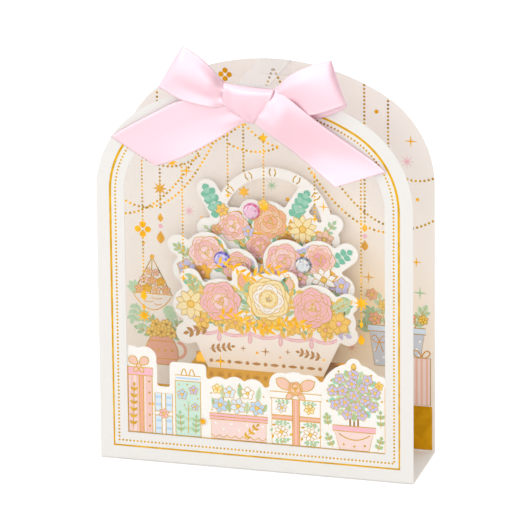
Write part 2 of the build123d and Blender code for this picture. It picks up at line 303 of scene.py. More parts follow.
def arch(inset, sill):
    """The card's arch drawn in by inset, from its left foot round to its right foot."""
    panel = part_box("card_shell")[1] / mm
    shoulder = complex(panel.x - SHOULDER_RADIUS, 0)
    shoulder += 1j * (panel.z - CROWN_RADIUS + (CROWN_RADIUS - SHOULDER_RADIUS) * sin(SHOULDER_ANGLE))
    turns = [SHOULDER_ANGLE * step / SHOULDER_STEPS for step in range(SHOULDER_STEPS + 1)]
    right = [complex(panel.x - inset, sill)]
    right += [shoulder + rect(SHOULDER_RADIUS - inset, turn) for turn in turns]
    crown_angle = pi / 2 - SHOULDER_ANGLE
    turns = [SHOULDER_ANGLE + crown_angle * step / CROWN_STEPS for step in range(1, CROWN_STEPS + 1)]
    right += [1j * (panel.z - CROWN_RADIUS) + rect(CROWN_RADIUS - inset, turn) for turn in turns]
    left = [-point.conjugate() for point in right]
    return left + right[-2::-1]


def lay_print(name, sheet_front, shapes):
    """One thin printed layer on a sheet. Shapes are (ink, level, outline); higher levels lie in front, and
    neighbours of one level take turns of a hair, so that none share a plane."""
    corners, faces, finishes = [], [], []
    used = sorted({ink for ink, level, outline in shapes})
    for at, (ink, level, outline) in enumerate(shapes):
        height = (level + at % PRINT_TURNS / PRINT_TURNS) * PRINT_STEP
        turning = sum((a.conjugate() * b).imag for a, b in zip(outline, outline[1:] + outline[:1]))
        ordered = outline if turning > 0 else outline[::-1]
        faces.append(range(len(corners), len(corners) + len(ordered)))
        corners += [(point.real * mm, sheet_front - height, point.imag * mm) for point in ordered]
        finishes.append(used.index(ink))
    piece = new_piece(name, corners, faces, [inks[ink] for ink in used], finishes)
    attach(piece, "root")


hot_foil("gold_foil", "#D6A71F", "#C59718")
hot_foil("bead_gold_foil", "#C8A024", "#946F10")
inset, sill, width = BORDER_LINE
border = drawn("gold_foil", 1, arch(inset, sill), width, closed=True)
inset, sill, pitch, radius = BORDER_DOTS
dots = arch(inset, sill)
border += beads("gold_foil", 1, dots + dots[:1], pitch, radius)
lay_print("front_border_foil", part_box("card_shell")[0].y, border)


# Back panel print. The inside of the back panel is offset-printed: a champagne tint with bead garlands,
# stars and potted plants. Its lines and the plain band along its foot are hot-stamped in gold foil.
CARD_THICKNESS = 0.4 * mm
INK_CLOUD = 0.5 * mm
OUTLINE = 0.32
LEAF_FULLNESS = 0.85
LEAF_VEIN = 0.18
VEIN_SHARE = 0.75
VEINED_FROM = 1.4
STEM = 0.26
STEM_SPARE = 0.8
LOWEST_PAIR = 0.35
PETAL_EDGE = 0.26
PETAL_FULLNESS = 0.75
PETAL_GAP = 0.8
HEART_RING = 0.27
HEART = 0.19
FOLD_LINE = 0.17
FOLDED_FROM = 3.4
FOLD_TURNS = (-1.6, -0.8, 0, 0.8, 1.6)
FOLD_PLACE = 0.7
FOLD_BOW = 0.12
FOLD_SWING = 0.2
RING_STEP = 0.27
RING_LEAN = 0.45
RING_SPREAD = 1.06
CURL_LINE = 0.24
CURL_GROWTH = 0.02
CURL_LEAN = 0.7


def offset_ink(name, colour, shade=0.94):
    """Offset ink: a thin matte film, slightly cloudy where the card took it unevenly."""
    material, tree = blank_material(name)
    spot = add_node(tree, "TexCoord")
    cloud = add_node(tree, "TexNoise", {"Scale": 1 / INK_CLOUD, "Detail": 2.0}, {"Vector": (spot, "Object")})
    full = linear(colour)
    thin = tuple(channel * shade for channel in full[:3]) + (1.0,)
    tint = add_node(tree, "Mix", {6: thin, 7: full}, {0: (cloud, "Fac")}, data_type="RGBA")
    film = add_node(tree, "BsdfPrincipled", {"Roughness": 0.55, "IOR": 1.5}, {"Base Color": (tint, 2)})
    add_node(tree, "OutputMaterial", links={"Surface": (film, 0)})
    inks[name] = material


def blade(root, tip, width, fullness=1.0, bluntness=1.0, steps=8):
    """A leaf or petal from root to tip: fullness moves its widest point to the tip, a low bluntness
    rounds it."""
    along = tip - root
    side = 1j * along / abs(along) * width / 2
    rise = [sin(pi * (step / steps) ** fullness) ** bluntness for step in range(1, steps)]
    spine = [root + along * step / steps for step in range(1, steps)]
    right = [point - side * height for point, height in zip(spine, rise)]
    left = [point + side * height for point, height in zip(spine, rise)]
    return [root] + right + [tip] + left[::-1]


def star(centre, tips, radius, waist, lean=pi / 2):
    """A star with that many tips."""
    return [centre + rect(waist if at % 2 else radius, lean + pi * at / tips) for at in range(2 * tips)]


def block(left, low, right, high):
    """A rectangle from its lower left to its upper right corner."""
    return [complex(left, low), complex(right, low), complex(right, high), complex(left, high)]


def outlined(ink, level, outline, width=OUTLINE, line="gold_foil"):
    """A flat colour with a line round it."""
    return [(ink, level, outline)] + drawn(line, level + 1, outline, width, closed=True)


def leaf(root, tip, width, ink, level=1, vein="gold_foil", bluntness=1.0):
    """A leaf, with its midrib if it is wide and pointed."""
    shapes = [(ink, level, blade(root, tip, width, LEAF_FULLNESS, bluntness))]
    if width > VEINED_FROM and bluntness == 1.0:
        shapes += drawn(vein, level + 1, [root, root + (tip - root) * VEIN_SHARE], LEAF_VEIN)
    return shapes


def spray(stem, tip, pairs, length, width, ink, level=1, spread=0.8, vein="gold_foil", bluntness=1.0):
    """A stem with pairs of leaves and one more at its tip."""
    heading = (tip - stem) / abs(tip - stem)
    end = tip - heading * length * STEM_SPARE
    shapes = drawn(vein, level + 1, [stem, end], STEM)
    shapes += leaf(end, tip, width, ink, level, vein, bluntness)
    for pair in range(pairs):
        root = stem + (end - stem) * (pair + LOWEST_PAIR) / pairs
        for side in (-spread, spread):
            shapes += leaf(root, root + heading * rect(length, side), width, ink, level, vein, bluntness)
    return shapes


def petals(centre, count, reach, width, ink, level, lean, hollow=0.12, bluntness=0.55):
    """A ring of petals, each with a gold edge, and a fold if it is wide. Every other petal lies over its
    two neighbours."""
    shapes = []
    for at in range(count):
        turn = lean + 2 * pi * at / count
        root, tip = centre + rect(reach * hollow, turn), centre + rect(reach, turn)
        under, edge = level + 2 * (at % 2), rect(PETAL_EDGE, turn)
        inner = blade(root + edge, tip - edge, width - 2 * PETAL_EDGE, PETAL_FULLNESS, bluntness)
        shapes.append(("gold_foil", under, blade(root, tip, width, PETAL_FULLNESS, bluntness)))
        shapes.append((ink, under + 1, inner))
        if width > FOLDED_FROM:
            out = [reach * (FOLD_PLACE + FOLD_BOW * cos(t)) for t in FOLD_TURNS]
            fold = [centre + rect(far, turn + FOLD_SWING * t) for far, t in zip(out, FOLD_TURNS)]
            shapes += drawn("gold_foil", under + 2, fold, FOLD_LINE)
    return shapes


def blossom(centre, count, radius, ink, heart, level=4, lean=0.3, slim=0.95):
    """A small open flower of separate petals round a dotted heart."""
    width = 2 * radius * sin(pi / count) * slim * PETAL_GAP
    shapes = petals(centre, count, radius, width, ink, level, lean, hollow=0.1, bluntness=0.75)
    shapes.append(("gold_foil", level + 4, disc(centre, radius * HEART_RING)))
    return shapes + [(heart, level + 5, disc(centre, radius * HEART))]


def heap(flowers, count, heart, level):
    """Small open flowers (centre, radius, ink) that overlap in three turns of level."""
    shapes = []
    for at, (centre, radius, ink) in enumerate(flowers):
        shapes += blossom(centre, count, radius, ink, heart, level + 6 * (at % 3))
    return shapes


def full_bloom(centre, radius, inks_in, level=4, lean=0.2, count=6):
    """A double flower: rings of overlapping petals round a curled heart, outermost ink first."""
    shapes = []
    for ring, ink in enumerate(inks_in):
        reach = radius * (1 - RING_STEP * ring)
        ring_lean = lean + RING_LEAN * ring
        shapes += petals(centre, count, reach, reach * RING_SPREAD, ink, level + 4 * ring, ring_lean)
    curl = [centre + rect(radius * CURL_GROWTH * step, lean + CURL_LEAN * step) for step in range(2, 12)]
    return shapes + drawn("gold_foil", level + 4 * len(inks_in), curl, CURL_LINE)


def swag(start, end, sag, steps=20):
    """The line of a cord that hangs between two points."""
    return [
        start + (end - start) * t / steps - 4j * sag * t / steps * (1 - t / steps) for t in range(steps + 1)
    ]


TINT_FOOT = 20.0 * mm
TINT_TOP = 110.0 * mm
# Round patches of painted warm shade behind the basket.
PAINTED_WARM_SHADES = (
    # centre, reach, strength, colour
    (Vector((4.0, 17.0, 74.0)) * mm, 56.0 * mm, 0.5, "#FFE6C6"),
    (Vector((31.0, 17.0, 52.0)) * mm, 36.0 * mm, 0.75, "#FDDCA6"),
)
# Champagne offset ink: matte with an uneven sheen, pale at the arch's top and warmer at its foot. Two soft
# round warm patches are painted shade, for the warm gold-lit shade behind the basket: a wide one behind the
# basket and a deeper one low on the right.
champagne, tree = blank_material("champagne_offset_ink")
spot = add_node(tree, "TexCoord")
parts = add_node(tree, "SeparateXYZ", links={0: (spot, "Object")})
rise = add_node(tree, "MapRange", {"From Min": TINT_FOOT, "From Max": TINT_TOP}, {"Value": (parts, "Z")})
tones = {6: linear("#F7EBDB"), 7: linear("#F3ECE6")}
tint = add_node(tree, "Mix", tones, {0: (rise, 0)}, data_type="RGBA")
# Each patch mixes in a warm colour, strongest at its centre: painted warm shade.
for centre, reach, strength, colour in PAINTED_WARM_SHADES:
    away = add_node(tree, "VectorMath", {1: centre}, {0: (spot, "Object")}, operation="DISTANCE")
    painted_warm_shade = add_node(
        tree,
        "MapRange",
        {"From Min": reach, "From Max": 0.0, "To Max": strength},
        {"Value": (away, "Value")},
        interpolation_type="SMOOTHSTEP",
    )
    tint = add_node(tree, "Mix", {7: linear(colour)}, {0: (painted_warm_shade, 0), 6: (tint, 2)}, data_type="RGBA")
cloud = add_node(tree, "TexNoise", {"Scale": 1 / INK_CLOUD, "Detail": 2.0}, {"Vector": (spot, "Object")})
take_up = add_node(tree, "MapRange", {"To Min": 0.44, "To Max": 0.6}, {"Value": (cloud, "Fac")})
matte = add_node(tree, "BsdfPrincipled", {"IOR": 1.5}, {"Base Color": (tint, 2), "Roughness": (take_up, 0)})
add_node(tree, "OutputMaterial", links={"Surface": (matte, 0)})
inks["champagne"] = champagne
hot_foil("deep_gold_foil", "#E8AC1E", "#DCA018", 0.4)
for ink_name, colour in (
    ("rose_ink", "#F6BCC7"),
    ("pale_rose_ink", "#FAD5DB"),
    ("deep_rose_ink", "#E99FAE"),
    ("coral_ink", "#F1AE8E"),
    ("pale_coral_ink", "#F4C7B1"),
    ("yellow_ink", "#F7D268"),
    ("pale_yellow_ink", "#FAE7AE"),
    ("amber_ink", "#F8CA58"),
    ("green_ink", "#A6CB9B"),
    ("sage_ink", "#C3DDB7"),
    ("teal_ink", "#6DBF9F"),
    ("pale_teal_ink", "#98D3BA"),
    ("lilac_ink", "#C6C2EA"),
    ("sky_ink", "#BAD9F2"),
    ("pale_sky_ink", "#DCEBF7"),
    ("mint_ink", "#CFE9DA"),
    ("blush_ink", "#F8DCD5"),
    ("blush_stripe_ink", "#F3C8BE"),
    ("coral_stripe_ink", "#F2C0A8"),
    ("cream_ink", "#FFFAF5"),
    ("oat_ink", "#F4EADF"),
    ("white_ink", "#FBF8F3"),
    ("slate_ink", "#D0D6DE"),
    ("brown_ink", "#9A6A2C"),
    ("bronze_ink", "#B98430"),
):
    offset_ink(ink_name, colour)

TINT_EDGE = (0.15, 1.0)
BAND_INSET = 1.0
BAND_FOOT = 0.9
BAND_TOP = 18.2
SWAG_BEADS = (1.67, 0.5)
STRING_BEADS = (1.47, 0.46)
TIE_BEADS = (1.6, 0.5)
BACK_SWAGS = (
    # start, end, sag
    (20 + 108j, 59.3 + 91.5j, 10.5),
    (30 + 124j, 59.3 + 108j, 7.0),
    (-57 + 112j, -30 + 110j, 6.0),
)
BACK_STRINGS = (
    # across, top, foot
    (-45.9, 133.6, 128.6),
    (-45.3, 103.6, 88.6),
    (-12.9, 122.6, 105.6),
    (33.4, 142.4, 89.4),
    (42.4, 136.9, 117.6),
)
BACK_TIE = (-4.4 + 137.9j, -1.2 + 146.6j, 1.4 + 141.3j)
BACK_DOTS = ((53.5 + 99.5j, 0.7), (38 + 132.5j, 0.8), (3.9 + 95.6j, 0.8), (-52 + 74j, 0.6), (20 + 92j, 0.7))
BACK_STARS = (
    # centre, ink, tips, radius, waist
    (-2.1 + 100.6j, "green_ink", 8, 3.0, 0.55),
    (-34.1 + 88.1j, "rose_ink", 8, 2.8, 0.55),
    (49.5 + 114j, "rose_ink", 8, 3.0, 0.55),
    (28.2 + 39.2j, "coral_ink", 8, 3.0, 0.55),
    (54.4 + 63j, "green_ink", 4, 2.8, 0.45),
    (-45.3 + 96.0j, "deep_gold_foil", 8, 3.0, 1.2),
    (-12.9 + 97.3j, "deep_gold_foil", 6, 2.6, 1.2),
    (51 + 122j, "deep_gold_foil", 4, 2.6, 0.42),
    (53 + 75j, "deep_gold_foil", 4, 2.2, 0.42),
    (34.8 + 67.6j, "deep_gold_foil", 4, 2.7, 0.42),
)
BACK_DROPS = ((-45.3 + 86.4j, 3.6), (-45.3 + 79.4j, 5.2), (33.4 + 88.6j, 3.4), (33.4 + 82.2j, 4.4))
QUATREFOIL = -19.6 + 142.6j
shapes = [("champagne", 1, arch(*TINT_EDGE))]
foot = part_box("card_shell")[1].x / mm - BAND_INSET
shapes.append(("deep_gold_foil", 2, block(-foot, BAND_FOOT, foot, BAND_TOP)))
for start, end, sag in BACK_SWAGS:
    shapes += beads("bead_gold_foil", 2, swag(start, end, sag), *SWAG_BEADS)
for across, top, low in BACK_STRINGS:
    shapes += beads("bead_gold_foil", 2, [across + 1j * top, across + 1j * low], *STRING_BEADS)
shapes += beads("bead_gold_foil", 2, BACK_TIE, *TIE_BEADS)
shapes += [("deep_gold_foil", 2, disc(centre, radius)) for centre, radius in BACK_DOTS]
shapes += [(ink, 3, star(centre, tips, radius, waist)) for centre, ink, tips, radius, waist in BACK_STARS]
for top, length in BACK_DROPS:
    shapes.append(("deep_gold_foil", 2, blade(top, top - 1j * length, length * 0.6, 1.3)))
shapes += [("rose_ink", 2, disc(centre, 0.9)) for centre in (-45.3 + 81.2j, 33.4 + 83.6j)]
for quarter in range(4):
    shapes.append(("deep_gold_foil", 2, disc(QUATREFOIL + rect(1.6, pi * quarter / 2), 1.05)))
# Hanging bowl of blossoms, with a jug of yellow flowers under it.
KNOB = -48.8 + 68.8j
BOWL_BLOSSOMS = (
    # centre, radius, ink
    (-54.0 + 55.8j, 2.0, "coral_ink"),
    (-50.9 + 56.2j, 2.1, "deep_gold_foil"),
    (-47.4 + 55.8j, 2.1, "pale_coral_ink"),
    (-43.6 + 55.9j, 2.0, "coral_ink"),
    (-52.0 + 59.6j, 1.9, "pale_rose_ink"),
    (-48.9 + 59.4j, 2.0, "coral_ink"),
    (-45.6 + 59.0j, 2.1, "deep_gold_foil"),
    (-50.2 + 62.8j, 1.7, "pale_coral_ink"),
    (-47.4 + 62.6j, 1.6, "rose_ink"),
)
JUG_BLOSSOMS = (
    # centre, radius, ink
    (-49.4 + 38.8j, 2.5, "yellow_ink"),
    (-45.6 + 39.0j, 2.5, "amber_ink"),
    (-41.6 + 38.9j, 2.5, "yellow_ink"),
    (-47.6 + 42.0j, 2.5, "amber_ink"),
    (-43.6 + 42.2j, 2.5, "yellow_ink"),
)
for hanger in (-56.4, -49.6, -41.2):
    shapes += drawn("bead_gold_foil", 2, [hanger + 53.8j, KNOB - 0.2j], 0.4)
shapes.append(("deep_gold_foil", 3, disc(KNOB, 0.9)))
shapes += outlined("oat_ink", 3, swag(-56.6 + 54j, -41.0 + 54j, 6.4, 18), 0.36, "deep_gold_foil")
for middle, reach in ((-47.2 + 52.6j, 2.2), (-50.4 + 51.2j, 1.8), (-46.8 + 50.2j, 1.4)):
    shapes += drawn("deep_gold_foil", 5, swag(middle - reach, middle + reach, 0.5, 6), OUTLINE)
for stem, tip in (
    (-55 + 50j, -57.4 + 41j),
    (-52 + 48j, -53.4 + 37.5j),
    (-43.6 + 50j, -40.6 + 43j),
    (-54 + 54j, -58 + 58.6j),
):
    shapes += spray(stem, tip, 3, 3.2, 1.9, "sage_ink", 4, vein="green_ink")
shapes += heap(BOWL_BLOSSOMS, 5, "amber_ink", 7)
jug = [-50.6 + 26j, -40.6 + 26j, -39.2 + 29j, -39.2 + 32j, -40.4 + 35j, -41.8 + 37.6j]
jug += [-49.4 + 37.6j, -50.8 + 35j, -52.0 + 32j, -52.0 + 29j]
handle = [-39.4 + 32.2j + rect(3.1, -pi / 2 + pi * step / 10) for step in range(11)]
shapes += drawn("coral_ink", 3, handle, 1.2) + outlined("coral_ink", 4, jug)
for height, reach in ((35.2, 4.9), (28.2, 5.8)):
    shapes.append(("deep_gold_foil", 6, block(-45.6 - reach, height, -45.6 + reach, height + 0.35)))
shapes += [("deep_gold_foil", 6, disc(across + 31.8j, 0.5)) for across in (-49.6, -46.9, -44.3, -41.6)]
for stem, tip in (
    (-49 + 38j, -56.4 + 40.6j),
    (-47 + 40j, -51.6 + 46.6j),
    (-42.4 + 40j, -36.8 + 44.2j),
    (-41.6 + 38j, -34.8 + 38.8j),
):
    shapes += spray(stem, tip, 2, 3.0, 1.8, "green_ink", 3)
shapes += heap(JUG_BLOSSOMS, 6, "bronze_ink", 8)
# Wide planter at the right, behind a striped box with a bow.
PLANTER_KNOT = 38.8 + 42.6j
PLANTER_BLOSSOMS = (
    # centre, radius, ink
    (37.2 + 51.6j, 2.9, "coral_ink"),
    (40.6 + 57.0j, 2.4, "yellow_ink"),
    (44.4 + 52.4j, 3.2, "pale_coral_ink"),
    (50.6 + 52.8j, 2.8, "coral_ink"),
    (55.6 + 52.4j, 2.2, "yellow_ink"),
    (36.0 + 61.0j, 2.6, "coral_ink"),
)
shapes += outlined("slate_ink", 3, [37 + 33j, 54 + 33j, 56 + 46.6j, 35 + 46.6j])
shapes += outlined("pale_sky_ink", 5, block(34.4, 46.6, 56.6, 49.0))
for side in (-1, 1):
    for rise, sag in ((1.4, -1.5), (1.0, 0.9)):
        loop = swag(PLANTER_KNOT, PLANTER_KNOT + complex(side * 3.0, rise), sag, 8)
        shapes += drawn("deep_gold_foil", 5, loop, 0.36)
    shapes += drawn("deep_gold_foil", 5, [PLANTER_KNOT, PLANTER_KNOT + complex(side * 1.5, -4.2)], 0.36)
for centre in (37.2 + 39.0j, 40.4 + 36.4j, 38.0 + 34.8j, 54.4 + 43.8j, 53.2 + 40.6j, 54.0 + 38.4j):
    shapes.append(("white_ink", 5, disc(centre, 0.5)))
for stem, tip, ink in (
    (38 + 49j, 33.6 + 56.6j, "green_ink"),
    (41 + 49j, 38.6 + 62j, "sage_ink"),
    (47 + 49j, 47.4 + 64j, "green_ink"),
    (52.4 + 49j, 57.2 + 58.6j, "sage_ink"),
    (36 + 47j, 30.6 + 50.4j, "green_ink"),
):
    shapes += spray(stem, tip, 3, 3.6, 2.1, ink, 3)
shapes += heap(PLANTER_BLOSSOMS, 6, "amber_ink", 7)
shapes += outlined("blush_ink", 9, block(51.6, 18.6, 58.4, 37.4))
shapes += [("coral_stripe_ink", 10, block(left, 18.8, left + 0.9, 37.2)) for left in (52.6, 54.6, 56.6)]
for sag in (-1.6, 1.0):
    for side in (-1, 1):
        shapes += drawn("deep_gold_foil", 11, swag(55 + 37.6j, 55 + side * 3.4 + 39.4j, sag, 8), 0.4)
back_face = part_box("card_shell")[1].y - CARD_THICKNESS
lay_print("back_panel_print", back_face, shapes)


# Window film. Clear polypropylene, cut to the arch and glued behind the window. What shows of it is the
# foil stamped on its face: bead strings, stars, drops and two leafy scrolls.
FILM_WAVE = 14.0 * mm
# Clear polypropylene film: most light passes, and a faint gloss stays on its slight waves.
clear_film, tree = blank_material("clear_polypropylene_film")
spot = add_node(tree, "TexCoord")
slack = add_node(tree, "TexNoise", {"Scale": 1 / FILM_WAVE}, {"Vector": (spot, "Object")})
buckle = add_node(tree, "Bump", {"Strength": 0.5, "Distance": 0.2 * mm}, {"Height": (slack, "Fac")})
film = add_node(
    tree,
    "BsdfPrincipled",
    {"Base Color": linear("#FFFFFF"), "Roughness": 0.06, "IOR": 1.5, "Alpha": 0.03},
    {"Normal": (buckle, 0)},
)
add_node(tree, "OutputMaterial", links={"Surface": (film, 0)})
dress("window_film", clear_film)
hot_foil("film_gold_foil", "#F4B62E", "#DCA024", 0.28)
hot_foil("film_bead_foil", "#F0B42E", "#A88420", 0.28)
FILM_SWAG_BEADS = (1.72, 0.5)
FILM_STRING_BEADS = (1.41, 0.4)
FILM_SWAGS = (
    # start, end, sag
    (-4 + 135j, -33 + 118.5j, 1.5),
    (-21 + 122.5j, -48.9 + 97.1j, 5.4),
    (-15.3 + 126.8j, -48.7 + 102j, 10.7),
    (-9 + 127j, 9 + 127j, 2.2),
    (-3 + 135j, 9 + 127.5j, 1.5),
    (21 + 120j, 48.8 + 97.7j, 5.0),
)
FILM_STRINGS = (
    # across, top, foot
    (-42.5, 118.0, 68.0),
    (-27.2, 118.0, 76.0),
    (-9.8, 133.0, 108.5),
    (3.8, 130.0, 105.0),
    (23.0, 118.0, 102.0),
    (40.4, 117.0, 60.0),
)
FILM_SCROLLS = (
    # start, end, swing, leaves
    (-15.5 + 79.0j, 11.0 + 78.0j, 2.4, 18),
    (-15.0 + 59.0j, 20.5 + 57.6j, 2.6, 24),
)
FILM_STARS = (
    # centre, tips, radius, waist
    (-42.5 + 57.6j, 8, 2.9, 1.1),
    (-27.2 + 73.6j, 4, 1.7, 0.5),
    (-31 + 118.5j, 8, 2.6, 0.9),
    (-25.5 + 115.5j, 4, 2.6, 0.5),
    (-9.8 + 107.2j, 4, 1.1, 0.5),
    (3.8 + 130.5j, 5, 2.0, 0.9),
    (4 + 103.6j, 6, 2.2, 0.9),
    (23 + 100.6j, 4, 1.5, 0.5),
    (40.4 + 69.4j, 8, 3.3, 1.2),
    (26.3 + 105.6j, 4, 2.2, 0.4),
    (-13.4 + 41.9j, 4, 3.2, 0.45),
    (-20.5 + 17.6j, 8, 1.7, 0.8),
    (-3.2 + 62.2j, 4, 1.5, 0.4),
)
FILM_DROPS = ((-42.5 + 68j, 4.4), (40.4 + 57.6j, 4.6), (-42.5 + 62.4j, 2.4), (40.4 + 62.6j, 2.6))
FILM_DOTS = ((0.6 + 46.6j, 0.5), (-39.8 + 22.8j, 0.5), (26 + 46j, 0.45), (12 + 97j, 0.45), (-20 + 98j, 0.4))
FILM_QUATREFOIL = -42.5 + 91.5j
SCROLL_STEPS = 60
SCROLL_HALF_WAVES = 3
SCROLL_STEM = 0.3
SCROLL_LEAF = (2.7, 1.1, 0.8)
SCROLL_LEAN = 0.85
SCROLL_SWAY = 0.5
CURL_RADIUS = 1.4
CURL_SHRINK = 0.87
CURL_TURN = 0.55
CURL_STEM = 0.28


def scroll(start, end, swing, leaves):
    """A waved stem with leaves to both sides and a curl at each end."""
    wave = [swing * sin(SCROLL_HALF_WAVES * pi * t / SCROLL_STEPS) for t in range(SCROLL_STEPS + 1)]
    stem = [start + (end - start) * t / SCROLL_STEPS + 1j * rise for t, rise in enumerate(wave)]
    outlines = band(stem, SCROLL_STEM)
    length, width, fullness = SCROLL_LEAF
    for at, point in enumerate(spaced(stem[2:-2], abs(end - start) / leaves)):
        sway = SCROLL_SWAY * cos(SCROLL_HALF_WAVES * pi * at / leaves)
        lean = rect(length + 0.5 * (at % 3), (SCROLL_LEAN if at % 2 else -SCROLL_LEAN) + sway)
        outlines.append(blade(point, point + lean, width, fullness))
    for tip, way in ((start, -1), (end, 1)):
        centre, first = tip + way * CURL_RADIUS, way * -CURL_RADIUS
        curl = [centre + rect(first * CURL_SHRINK**step, way * CURL_TURN * step) for step in range(12)]
        outlines += band(curl, CURL_STEM)
    return outlines


film_shapes, ornaments = [], []
for start, end, sag in FILM_SWAGS:
    film_shapes += beads("film_bead_foil", 1, swag(start, end, sag), *FILM_SWAG_BEADS)
for across, top, low in FILM_STRINGS:
    film_shapes += beads("film_bead_foil", 1, [across + 1j * top, across + 1j * low], *FILM_STRING_BEADS)
for start, end, swing, leaves in FILM_SCROLLS:
    ornaments += scroll(start, end, swing, leaves)
ornaments += [star(centre, tips, radius, waist) for centre, tips, radius, waist in FILM_STARS]
ornaments += [blade(top, top - 1j * length, length * 0.55, 1.4) for top, length in FILM_DROPS]
ornaments += [disc(FILM_QUATREFOIL + rect(1.9, pi * quarter / 2), 1.25) for quarter in range(4)]
ornaments += [disc(centre, radius) for centre, radius in FILM_DOTS]
film_shapes += [("film_gold_foil", 2, outline) for outline in ornaments]
lay_print("window_film_foil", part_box("window_film")[0].y, film_shapes)


# Gift row. Coated card, die-cut round wrapped presents and a potted lilac, and glued behind the film. It
# is printed in pastel inks with gold foil lines.
SILL = 11.3
SILL_LINE = 11.0
SIDE_LINE = 49.2
COATING_PATCH = 1.2 * mm
# Clay-coated card: white with a soft sheen, a little uneven where the coating lies thinner.
coated_card, tree = blank_material("coated_white_card")
spot = add_node(tree, "TexCoord")
mottle = add_node(tree, "TexNoise", {"Scale": 1 / COATING_PATCH, "Detail": 4.0}, {"Vector": (spot, "Object")})
tones = {6: linear("#F5F1EA"), 7: linear("#FBF9F4")}
clay_tint = add_node(tree, "Mix", tones, {0: (mottle, "Fac")}, data_type="RGBA")
sheen = add_node(tree, "MapRange", {"To Min": 0.42, "To Max": 0.58}, {"Value": (mottle, "Fac")})
coating = add_node(
    tree, "BsdfPrincipled", {"IOR": 1.5}, {"Base Color": (clay_tint, 2), "Roughness": (sheen, 0)}
)
add_node(tree, "OutputMaterial", links={"Surface": (coating, 0)})
dress("gift_row", coated_card)


def tied_bow(knot, span, rise, ink, level):
    """A small bow: two loops, two tails and a knot."""
    shapes = []
    for side in (-1, 1):
        tail, loop = knot + complex(side * span * 0.5, -rise * 0.75), knot + complex(side * span, rise)
        shapes += outlined(ink, level, blade(knot, tail, rise * 0.5, 1.3))
        shapes += outlined(ink, level + 2, blade(knot, loop, rise * 0.95, 1.5, 0.8))
    return shapes + outlined(ink, level + 4, disc(knot, rise * 0.28))


def scattered(points, radius, ink="gold_foil", level=2):
    """Loose dots."""
    return [(ink, level, disc(point, radius)) for point in points]


# Striped box with a bow.
row = outlined("blush_ink", 1, block(-SIDE_LINE, SILL, -39.9, 33.8))
for left in (-48.2, -46.0, -42.4, -41.2):
    row.append(("blush_stripe_ink", 2, block(left, SILL + 0.3, left + 1.1, 33.6)))
row += outlined("coral_ink", 3, block(-44.9, SILL, -43.3, 33.8))
row += outlined("rose_ink", 5, block(-SIDE_LINE, 33.8, -39.6, 37.0))
row += tied_bow(-45.0 + 37.6j, 3.6, 3.4, "pale_coral_ink", 7)
row += spray(-47.4 + 13.2j, -46.8 + 31.0j, 6, 2.0, 1.0, "gold_foil", 9, vein="gold_foil")
row += scattered([-41.0 + height * 1j for height in (31.6, 27.2, 22.8, 18.4, 14.0)], 0.42, "gold_foil", 9)
# Small parcel.
row += outlined("pale_sky_ink", 1, block(-38.9, SILL, -32.2, 27.4))
row += [("sky_ink", 2, block(-38.6, low, -32.5, low + 1.0)) for low in (13.0, 16.0, 22.4, 25.4)]
row += outlined("white_ink", 3, block(-38.9, 18.6, -32.2, 20.2))
row += outlined("white_ink", 5, block(-36.3, SILL, -34.8, 27.4))
row += blossom(-35.5 + 19.4j, 6, 2.2, "rose_ink", "yellow_ink", 8)
# Paper bag with a cut-out pattern of stems.
row += outlined("mint_ink", 1, block(-31.0, SILL, -21.3, 33.0))
row += outlined("white_ink", 3, block(-31.0, 33.0, -21.3, 35.2))
row.append(("sky_ink", 5, block(-30.6, 33.7, -21.7, 34.4)))
for side in (-1, 1):
    row += drawn("gold_foil", 3, swag(-26.1 + 35.2j + side * 2.6, -26.1 + 35.2j + side * 0.4, -2.6, 8), 0.4)
for stem, tip, ink in (
    (-28.9 + 12.4j, -29.3 + 21.4j, "green_ink"),
    (-26.2 + 12.4j, -25.9 + 25.4j, "sage_ink"),
    (-23.4 + 12.4j, -22.9 + 20.2j, "green_ink"),
):
    row += spray(stem, tip, 3, 2.3, 1.2, ink, 3)
for centre, radius, ink in (
    (-28.4 + 27.6j, 2.3, "sky_ink"),
    (-24.0 + 29.6j, 2.0, "lilac_ink"),
    (-23.4 + 23.0j, 1.7, "sky_ink"),
):
    row += blossom(centre, 5, radius, ink, "yellow_ink", 5)
row += scattered((-29.6 + 31.4j, -26.4 + 31.6j, -27.6 + 23.4j, -22.4 + 26.4j), 0.3, level=5)
# Hat box heaped with blossoms.
row += outlined("blush_ink", 1, block(-17.3, SILL, 3.8, 20.4))
zigzag = [complex(-15.6 + 3 * step, 16.4 + 1.1 * (-1) ** step) for step in range(7)]
row += scattered(zigzag, 0.42, "white_ink")
for step in range(7):
    row += drawn("gold_foil", 3, swag(-17.2 + 3 * step + 13j, -14.2 + 3 * step + 13j, 1.0, 6), 0.28)
row += spray(-4.6 + 12.2j, 1.2 + 18.6j, 3, 2.1, 1.0, "gold_foil", 3)
row += outlined("rose_ink", 5, block(-17.9, 19.0, 4.4, 21.4))
row.append(("gold_foil", 7, block(-17.8, 20.0, 4.3, 20.35)))
for root, tip, ink in (
    (-15.0 + 23j, -17.0 + 27.6j, "green_ink"),
    (-12.4 + 27j, -13.0 + 33.2j, "sage_ink"),
    (-6.0 + 28j, -6.2 + 34.2j, "green_ink"),
    (0.4 + 27j, 1.6 + 33.4j, "sage_ink"),
    (2.0 + 23j, 4.2 + 26.6j, "green_ink"),
    (-10.2 + 22j, -10.6 + 27.4j, "green_ink"),
    (-3.6 + 22j, -3.2 + 27.2j, "sage_ink"),
):
    row += leaf(root, tip, 2.2, ink)
